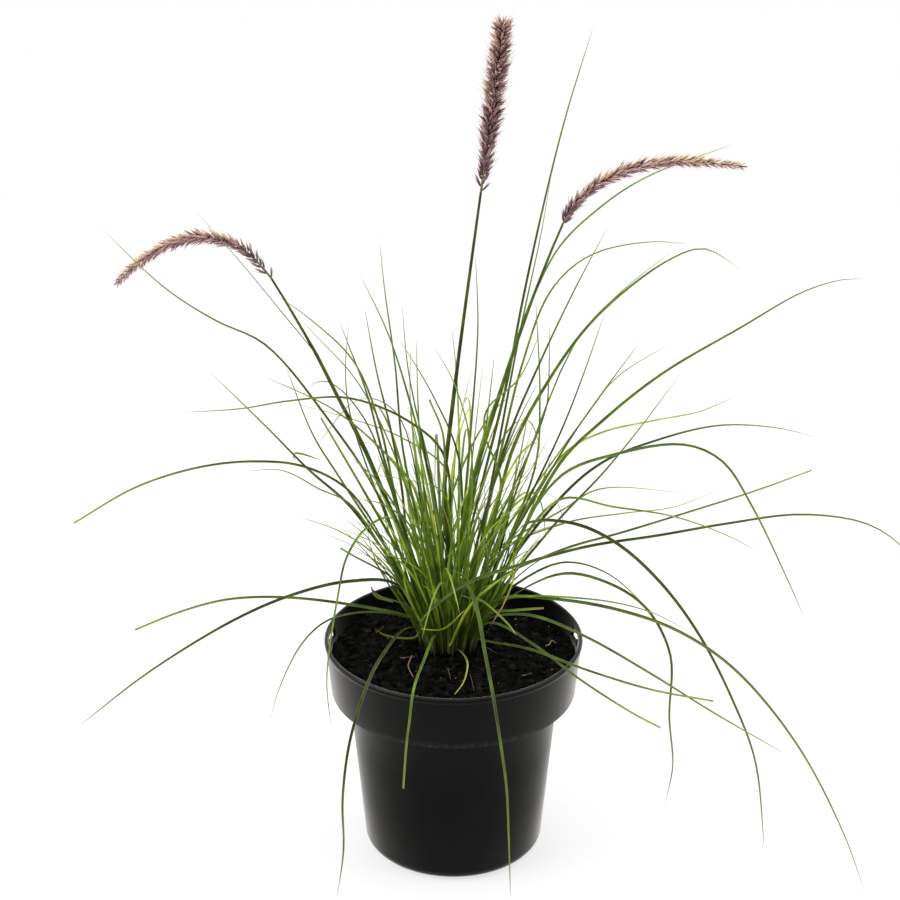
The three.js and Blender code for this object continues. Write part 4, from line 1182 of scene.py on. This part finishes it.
def makeStrawMaterial():
    # dry straw and moss: matt, the colour kept in the tone mark
    material, add = newMaterial("strawAndMoss")
    tone = add("Attribute", {"attribute_name": "tone"}).outputs["Fac"]
    colour = add("ValToRGB", {"stops": [
        (0, "#2a3614"), (0.3, "#4d5c1e"), (0.45, "#4a3325"), (0.75, "#755a45"), (1, "#a08b6c")]},
        {"Fac": tone})
    addSurface(add, {"Roughness": 0.8, "Specular IOR Level": 0.2}, {"Base Color": colour})
    return material


def makeDebris():
    draw = makeDraw(907)
    shapes = []
    for points in debris["straws"]:
        path = onSoil(points, debris["lift"])
        path[:, 2] += [draw(*debris["strawLift"]) for point in points]
        thick = draw(*debris["strawThick"])
        tone = draw(*debris["strawTone"])
        shapes.append(layTube(smooth(path), lambda share: thick * (1 - share / 2), tone))
    lump, sides = makeLump()
    for k in range(debris["bits"]):
        middle = strewn(draw, debris["bitNearest"], debris["bitReach"], debris["bitLift"])
        size = draw(*debris["bitSize"])
        spread = np.array([draw(*debris["bitWide"]), draw(*debris["bitWide"]), debris["bitHigh"]])
        tone = draw(*debris["mossTone" if draw(0, 1) < debris["mossShare"] else "strawTone"])
        shapes.append((lump * size * spread + middle, sides, {"tone": tone}))
    finishPiece(addShapes("soil_debris", shapes), makeStrawMaterial())

    curl = onSoil(debris["curl"], debris["lift"])
    curl[:, 2] += debris["curlLift"]
    fold = [placed(x, z, debris["foldDepth"]) for x, z in debris["fold"]]
    scrap = [placed(x, z, debris["scrapDepth"]) for x, z in debris["scrap"]]
    # path, width, end, twist, tone, roll
    loose = [(curl, 1.3, "cut", 0.3, 0.8, 0.6), (scrap, 2.2, "brown", 0.5, 0.3, 0.85),
             (fold, 1.4, "pointed", 0.8, 0.7, 0.8)]
    blades = [layBlade(smooth(path), *rest) for path, *rest in loose]
    finishPiece(addShapes("leaf_loose", blades), leafMaterial)


makeDebris()
print("debris done")


# Spikes: purple-brown spikelets, each in a tuft of fine straw-tipped bristles; the ones that point up get a
# painted highlight. Dry and matt.

def makeSpikeMaterial():
    material, add = newMaterial("foxtailBristle")
    along, bristle, tone, age, pink, green = [
        add("Attribute", {"attribute_name": name}).outputs["Fac"]
        for name in ("along", "bristle", "tone", "age", "pink", "green")]
    dark, light, hair = [add("ValToRGB", {"stops": stops}, {"Fac": along}) for stops in (
        [(0, "#321c26"), (0.5, "#52343f"), (0.75, "#6b4c50"), (1, "#c09c66")],
        [(0, "#523d48"), (0.5, "#957e87"), (0.8, "#bca8a8"), (1, "#ddcf9f")],
        [(0, "#5d3b4b"), (0.5, "#a9808a"), (1, "#ecdba0")])]
    husk = add("Mix", {"data_type": "RGBA"}, {"Factor": tone, 6: dark, 7: light})
    lit = add("Math", {"operation": "MULTIPLY_ADD", 1: 0.55, 2: 0.15}, {0: tone})
    part = add("Math", {"operation": "MULTIPLY"}, {0: bristle, 1: lit})
    colour = add("Mix", {"data_type": "RGBA"}, {"Factor": part, 6: husk, 7: hair})
    # the straw mixed in here is partly a painted highlight on spikelets that point up
    for paint, cover in (("#c987a4", pink), ("#cdb674", age), ("#626f3c", green)):
        colour = add("Mix", {"data_type": "RGBA", 7: paint}, {"Factor": cover, 6: colour})
    addSurface(add, {
        "IOR": 1.45, "Roughness": 0.6, "Specular IOR Level": 0.3, "Subsurface Weight": 0.1,
        "Subsurface Scale": 0.4 * mm, "Subsurface Radius": (1.0, 0.6, 0.5)}, {"Base Color": colour})
    return material


spikeletShape = {
    "huskSides": 6, "huskRings": 5, "huskLength": 8, "huskWide": 2, "huskTaper": (1.35, 0.2), "flat": 0.8,
    "bristles": 2, "bristleLength": (7.5, 10.5), "bristleThick": 0.2, "bristleTaper": (0.9, 0.7, 0.3),
    "spin": 0.8, "parting": (0.06, 0.36), "bow": 0.1,
}
spikeShape = {
    "coreTip": 0.35, "coreTone": 0.5, "green": 1.4, "greenPast": 0.1, "smooth": 60,
    "rootOff": 0.8, "bareEnd": 5, "jitter": 0.3, "twoRanked": 0.7, "leanScatter": (0.7, 1.25),
    "sizeScatter": (0.8, 1.15), "darkTone": (0, 0.25), "paleTone": (0.6, 1), "palePart": 0.3,
}
spikeLooks = {
    # spikelets to each mm; how they crowd; up to where they stand apart; their lean in degrees and size at
    # the foot and above; how slim the end is; the shares of pale, pink and straw ones, the straw partly a
    # painted highlight
    "left": {"perMm": 1.7, "crowd": 0.64, "foot": 0.24, "lean": (28, 36), "size": (1.15, 1.15), "end": 0.4,
             "light": 0.8, "pink": 0.9, "straw": 0.45},
    "centre": {"perMm": 2.9, "crowd": 0.6, "foot": 0.42, "lean": (29, 52), "size": (1.2, 1.3), "end": 0.82,
               "light": 0.5, "pink": 0.65, "straw": 0.45},
    "right": {"perMm": 1.6, "crowd": 0.9, "foot": 0.15, "lean": (22, 29), "size": (1.15, 1.15), "end": 0.36,
              "light": 0.8, "pink": 0.8, "straw": 0.58},
}


def makeHusk():
    bpy.ops.mesh.primitive_uv_sphere_add(
        segments=spikeletShape["huskSides"], ring_count=spikeletShape["huskRings"], radius=0.5)
    points, faces = readShape(bpy.context.object)
    share = points[:, 2] + 0.5
    points[:, :2] *= mix(*spikeletShape["huskTaper"], share)[:, None] * spikeletShape["huskWide"]
    points[:, 2] = share * spikeletShape["huskLength"]
    return points, faces


def makeBristle():
    bpy.ops.mesh.primitive_circle_add(vertices=3, radius=1, fill_type="NGON")
    hair = bpy.context.object
    startEdit()
    for grow in spikeletShape["bristleTaper"]:
        extrudeUp(1 / len(spikeletShape["bristleTaper"]), grow)
    endEdit()
    return readShape(hair)


def frameOf(way, hint):
    side = unit(np.cross(hint, way))
    return np.stack([side, np.cross(way, side), way])


def makeSpikelet(draw, root, way, forward, scale, marks):
    hint = forward + np.array([0.1, 0.2, 0.05])
    axes = frameOf(way, hint)
    place = husk[0] * scale * np.array([1, spikeletShape["flat"], 1]) @ axes + root
    shapes = [(place, husk[1], {**marks, "along": husk[0][:, 2] / spikeletShape["huskLength"]})]
    x, y, along = bristle[0].T
    thick = spikeletShape["bristleThick"]
    for b in range(spikeletShape["bristles"]):
        spin = 2 * math.pi * (b + draw(0, spikeletShape["spin"])) / spikeletShape["bristles"]
        out = axes[0] * math.cos(spin) + axes[1] * math.sin(spin)
        parting = draw(*spikeletShape["parting"])
        hairAxes = frameOf(way * math.cos(parting) + out * math.sin(parting), hint)
        span = scale * draw(*spikeletShape["bristleLength"])
        place = np.stack([x * thick, y * thick, along * span], 1) @ hairAxes + root
        place += np.outer(along ** 2, forward * spikeletShape["bow"] * span)
        shapes.append((place, bristle[1], {**marks, "along": along, "bristle": 1.0}))
    return shapes


def makeSpike(stalk, material):
    draw = makeDraw(51)
    looks = spikeLooks[stalk["name"]]
    length = lengthsOf(stalk["head"])[-1]
    points = evenly(stalk["head"], round(length))
    ways = tangents(points)
    count = round(length * looks["perMm"])
    place, sides, marks = layTube(
        stalk["head"], lambda share: mix(stalk["top"], spikeShape["coreTip"], share), spikeShape["coreTone"])
    green = spikeShape["green"] * (1 - marks["along"] / (looks["foot"] + spikeShape["greenPast"]))
    shapes = [(place, sides, {"green": np.clip(green, 0, 1)})]
    for k in range(count):
        share = (k / count) ** looks["crowd"]
        i = round(mix(1, len(points) - spikeShape["bareEnd"], share))
        forward = ways[i]
        side = unit(np.cross([0, 1, 0], forward))
        turn = k * goldenAngle + draw(-spikeShape["jitter"], spikeShape["jitter"])
        up = min(max(share / looks["foot"] - 0.3, 0), 1)
        turn -= spikeShape["twoRanked"] * (1 - up) * math.sin(2 * turn)
        around = side * math.cos(turn) + np.cross(forward, side) * math.sin(turn)
        lean = math.radians(mix(*looks["lean"], up) * draw(*spikeShape["leanScatter"]))
        way = forward * math.cos(lean) + around * math.sin(lean)
        above = 0.5 + 0.5 * around[2]
        dark = draw(0, 1) > looks["light"] * mix(spikeShape["palePart"], 1, up)
        tone = draw(*spikeShape["darkTone" if dark else "paleTone"])
        # straw ageing toward the spike's top, plus a painted highlight: spikelets that point up are made
        # paler
        age = looks["straw"] * min(1, 0.3 * up + share * draw(0, 1)) * above * tone * 2
        pink = looks["pink"] * draw(0.2, 1) * (1.2 - above) * mix(0.4, 1, tone)
        root = points[i] + around * spikeShape["rootOff"]
        size = mix(*looks["size"], up) * mix(1, looks["end"], share ** 3) * draw(*spikeShape["sizeScatter"])
        shapes += makeSpikelet(draw, root, way, forward, size, {"tone": tone, "age": age, "pink": pink})
    name = "spike_" + stalk["name"]
    finishPiece(addShapes(name + "_foxtail", shapes), material, [name], spikeShape["smooth"])


husk = makeHusk()
bristle = makeBristle()
spikeMaterial = makeSpikeMaterial()
for stalk in stalks:
    makeSpike(stalk, spikeMaterial)
print("spikes done")


# Floor: plain white paper that glows faintly

floorShape = {"sides": 96, "radius": 1.6, "drop": 0.0005}


def makeFloor():
    bpy.ops.mesh.primitive_circle_add(
        vertices=floorShape["sides"], radius=floorShape["radius"], fill_type="NGON",
        location=(0, 0, -floorShape["drop"]))
    floor = bpy.context.object
    floor.name = "floor_paper"
    material, add = newMaterial("whitePaper")
    addSurface(add, {"Roughness": 0.9, "Specular IOR Level": 0.0, "Base Color": "#898989",
                      "Emission Color": "#ffffff", "Emission Strength": 0.68})
    floor.data.materials.append(material)


makeFloor()
print("floor done")
